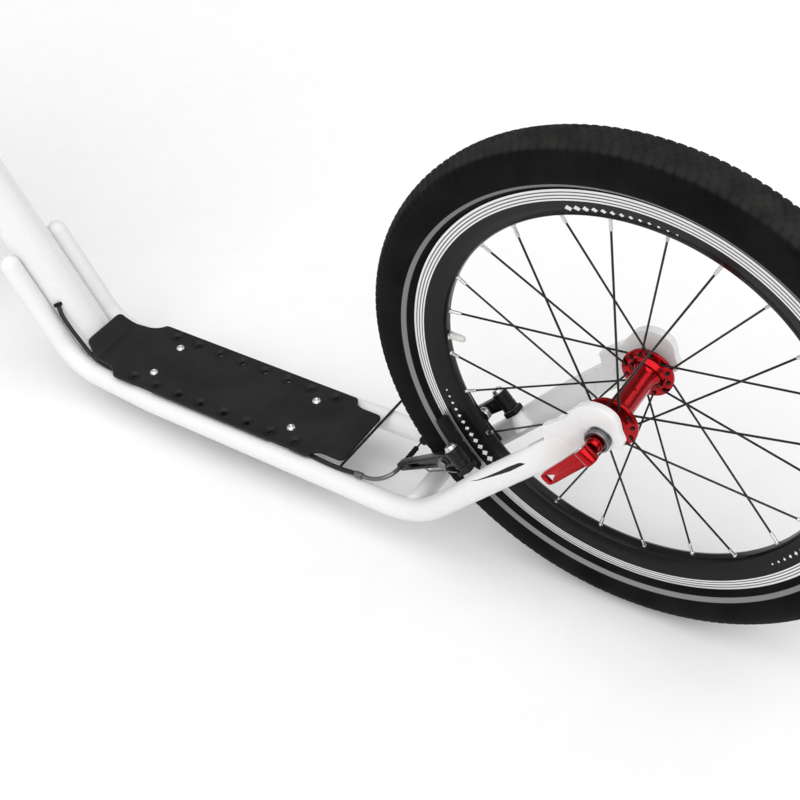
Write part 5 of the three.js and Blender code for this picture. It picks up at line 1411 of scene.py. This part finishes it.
padLook = {
    "up": 19.5,
    "post": [[0, 23.5], [3, 23.5], [3, 25], [6.6, 25.4], [6.9, 27.6], [4.6, 29.6], [6.4, 30.2],
             [6.4, 32.4], [5.4, 34], [3, 34.3], [3, 46], [0, 46]],
    "washer": [[2.6, 45.2], [5.4, 45.4], [5.6, 46.6], [2.6, 46.8]], "nut": (46.8, 51), "nutFlats": 8.6,
}


# The block's post with its dished washers, and the washer and nut outside the arm
def postShapes(side):
    look = padLook
    at, axes = up * look["up"], lookingAlong(across * side)
    nut = nutShape(*[at + across * side * y for y in look["nut"]], look["nutFlats"])
    return turned(look["post"], 0.4, 40, at, axes), joined(turned(look["washer"], 0.3, 32, at, axes), nut)


springLook = {
    "foot": [[-12.5, 44, -7], [-12.6, 50, -2]], "radius": 0.95,
    "onArm": [(-11.5, 8, 7.6), (-9, 26, 7.2), (-7.8, 46, 6.7), (-7.4, 58, 6.4), (-4, 60.5, 6.4)],
    "box": 11.2, "boxHole": 6.9, "boxFrom": -15.8, "boxTo": -10.4,
}


# The arm's spring: a wire from its box up along the arm, its stations given as (x, z, distance off the arm)
def armSpring(side):
    lean = (brakePlace["half"] - armLook["tipY"]) / armLook["length"]
    onArm = [[x, brakePlace["half"] - lean * z + off, z] for x, z, off in springLook["onArm"]]
    return wire(curveThrough(np.array(springLook["foot"] + onArm) * [1, side, 1], 60), springLook["radius"])


# the box that holds the spring's foot, five-sided, behind the arm on its stud
def springBox(side):
    look = springLook
    k = turnsOf(5) + pi / 2
    loop = eased(np.stack([look["box"] * np.cos(k), look["box"] * np.sin(k)], 1), 2, steps=4)
    return slab(loop, [ring((0, 0), look["boxHole"], 32)], look["boxFrom"], look["boxTo"], 0.7,
                across * side * brakePlace["half"], np.array([across, up, ahead]))


pipeLook = {
    "route": [[0, -14.5, 112], [0, -26, 112], [1, -36, 114.8], [3.5, -42.4, 123], [7.5, -44.4, 134.5],
              [13, -44.2, 144], [18.4, -43.5, 152.2]],
    "radius": 2.3, "ferrule": 3.5, "ferruleLength": 9,
    "bootFrom": -14.2, "bootTo": 7.6, "bellows": 0.6, "pitch": 3.63,
    "bootEnd": [[1.2, 7.9], [0.8, 8.2], [0.8, 16.4], [pole, 16.5]],
}


# The bent pipe that leads the cable in, with its ferrule
def pipeShape():
    look = pipeLook
    path = curveThrough(look["route"], 60)
    back = unit(path[-8] - path[-1])
    ferrule = rodShape(path[-1] + back * look["ferruleLength"], path[-1], look["ferrule"], 24, 0.5)
    return joined(wire(path, look["radius"], 16), ferrule)


# The boot between the arms: bellows r = R + depth * |sin(pi y / pitch)|, ending in a thin sleeve
def bootShape():
    look = pipeLook
    y = np.linspace(look["bootFrom"], look["bootTo"], 90)
    bellows = look["radius"] + look["bellows"] * np.abs(np.sin(pi * (y - look["bootFrom"]) / look["pitch"]))
    outline = np.vstack([[pole, look["bootFrom"]], np.stack([bellows, y], 1), look["bootEnd"]])
    return lathe(outline, 28, False, (0, 0, armLook["length"]))


# The wheel's axle, in the brake's own directions, is what the blocks are bent round
def buildBrake(end, at, axes, holder, names, hub, bead):
    wheelX, wheelZ = axes[[0, 2]] @ (hub - at)

    def put(shape):
        return outwards((placed(shape[0], at, axes), shape[1], shape[2]))

    for side, name in zip((1, -1), names):
        whole, body = "%s_%s" % (end, name), "%s_%s_arm" % (end, name)
        piece(whole + "_arm_bar", put(armShape(side)), alloy, body, [whole + "_brake_arm"])
        block = blockShape(side, wheelX, wheelZ, bead + blockLook["track"])
        piece(whole + "_block", put(block), rubber, body, [whole + "_brake_pad"], sharp=30)
        post, nut = postShapes(side)
        piece(whole + "_post", put(post), steel, body)
        piece(whole + "_pad_nut", put(nut), darkMetal, body)
        piece(whole + "_spring", put(armSpring(side)), darkMetal, body)
        piece(whole + "_spring_box", put(springBox(side)), alloy, holder)
    piece(end + "_pipe", put(pipeShape()), darkMetal, body, [end + "_noodle"])
    boot = piece(end + "_boot", put(bootShape()), rubber, body, [end + "_cable_boot"])
    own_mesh(boot)


# Routes of the cable housings. The loop and the front cable are given on the steering.
cableLook = {
    "radius": 2.5,
    "rear": [[700.5, 23, 117.5], [693, 27.5, 108], [683, 29.5, 95], [672, 30, 80], [662, 30.5, 67.5],
             [651, 31, 59.6], [637, 31.6, 57.2], [610, 32, 57], [560, 32, 57], [480, 32.5, 57],
             [400, 34, 57], [360, 37, 58], [336, 41, 60.2], [318, 43.4, 61.8], [300, 43.6, 62],
             [290, 43.5, 62.9], [280.4, 43.5, 64.05]],
    "loop": [[71, -145.7, 653.8], [75, -118, 653], [83, -80, 645], [90, -40, 622], [92, -4, 588],
             [86, 28, 552], [66, 48, 516], [32, 54, 484], [-2, 50, 462], [-30, 38, 444],
             [-52, 24, 424], [-63, 14.5, 413.5]],
    "front": [[49.6, -43.5, 413.1], [53.2, -43.1, 418.5], [63, -41, 434], [78, -33, 466], [92, -14, 516],
              [98, 16, 568], [96, 52, 612], [88, 92, 640], [78, 122, 651.5], [71, 145.7, 653.8]],
    "grommet": [[2.7, -2], [4.6, -2], [5.2, -0.4], [4.6, 1.6], [3.3, 2.4], [2.7, 2.4]],
}


def buildCables():
    look = cableLook
    rear, loop, front = np.array(look["rear"]), onSteering(look["loop"]), onSteering(look["front"])
    grommet = turned(look["grommet"], 0.5, 28, rear[0], lookingAlong(rear[1] - rear[0]))
    piece("cable_grommet", grommet, rubber, "frame")

    def housing(name, path, node):
        return piece(name, wire(path, look["radius"], 14), cableFinish, None, [node])

    rearCable = housing("rear_cable", curveThrough(rear, 300), "rear_brake_cable")
    frontCable = housing("front_cable", onSteering(curveThrough(look["front"], 240)), "front_brake_cable")
    loopCable = housing("loop_cable", onSteering(curveThrough(look["loop"], 240)), "rear_cable_loop")
    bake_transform(rearCable)
    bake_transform(frontCable)
    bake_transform(loopCable)


buildFrame()
buildBoard()
print("frame and board made")
buildFork()
buildStem()
buildBar()
buildGrips()
buildLevers()
print("steering made")
buildBrake("rear", np.array(brakePlace["rear"]), rearStay, "frame", ("right", "left"), rearHub,
           bike["rearBead"])
buildBrake("front", onSteering(brakePlace["front"]), leaning, "steering", ("left", "right"), frontHub,
           bike["frontBead"])
buildCables()
print("brakes and cables made")


# Camera, floor and light

# Angles in degrees; the focal length and the frame's width are in pixels of the photo
camera = {
    "place": (-1.024112, 0.780374, 1.046256), "yaw": 37.853, "pitch": 42.364, "roll": -7.056,
    "focal": 1359.83, "frame": 800, "sensor": 36,
}


# Stands an object at a place, turned so that it looks against the direction back
def stand(name, data, right, over, back, at):
    obj = bpy.data.objects.new(name, data)
    matrix = np.eye(4)
    matrix[:3] = np.stack([right, over, back, at], 1)
    obj.matrix_world = Matrix(matrix.tolist())
    bpy.context.scene.collection.objects.link(obj)
    return obj


def makeCamera():
    yaw, pitch, roll = radians(camera["yaw"]), radians(camera["pitch"]), radians(camera["roll"])
    forward = np.array([sin(yaw) * cos(pitch), -cos(yaw) * cos(pitch), -sin(pitch)])
    right = unit(np.cross(forward, up))
    over = np.cross(right, forward)
    right, over = right * cos(roll) + over * sin(roll), over * cos(roll) - right * sin(roll)
    data = bpy.data.cameras.new("photo_camera")
    data.sensor_width = camera["sensor"]
    data.lens = camera["focal"] / camera["frame"] * camera["sensor"]
    data.clip_end = 50
    bpy.context.scene.camera = stand("photo_camera", data, right, over, -forward, camera["place"])


floorLook = {"half": 12, "down": 0.001, "colour": (0.9, 0.9, 0.9), "low": 0.893, "high": 0.907, "world": 0.42}


def makeStage():
    look = floorLook
    mesh = bpy.data.meshes.new("floor")
    s, z = look["half"], -look["down"]
    mesh.from_pydata([(-s, -s, z), (s, -s, z), (s, s, z), (-s, s, z)], [], [(0, 1, 2, 3)])
    floor = bpy.data.objects.new("floor", mesh)
    bpy.context.scene.collection.objects.link(floor)
    finish = newFinish("pale_floor", look["colour"], 0.7, specular=0.2)
    n = Nodes(finish)
    n.colour(n.spread(30, 2, [(0.3, look["low"]), (0.7, look["high"])]))
    mesh.materials.append(finish)
    world = bpy.data.worlds.new("studio")
    world.use_nodes = True
    background = world.node_tree.nodes["Background"].inputs
    background["Color"].default_value = (1, 1, 1, 1)
    background["Strength"].default_value = look["world"]
    bpy.context.scene.world = world
    bpy.context.scene.view_settings.view_transform = "Standard"


# The sun's size is the angle it spans; the other lamps are discs that many metres across
lamps = [
    {"name": "sky", "kind": "SUN", "at": (-1.4, 1.5, 3.2), "size": 80, "power": 2.35},
    {"name": "fill", "kind": "AREA", "at": (2.2, 1.8, 2.4), "size": 3.0, "power": 14},
    {"name": "back", "kind": "AREA", "at": (-2.4, -1.8, 2.4), "size": 2.4, "power": 14},
]
lampTarget = (-0.4, 0, 0.25)


def makeLamps():
    for lamp in lamps:
        data = bpy.data.lights.new(lamp["name"], lamp["kind"])
        if lamp["kind"] == "SUN":
            data.angle = radians(lamp["size"])
        else:
            data.shape = "DISK"
            data.size = lamp["size"]
        data.energy = lamp["power"]
        back = unit(np.subtract(lamp["at"], lampTarget))
        right = unit(np.cross(up, back))
        stand(lamp["name"], data, right, np.cross(back, right), back, lamp["at"])


makeCamera()
makeStage()
makeLamps()
print("stage made")
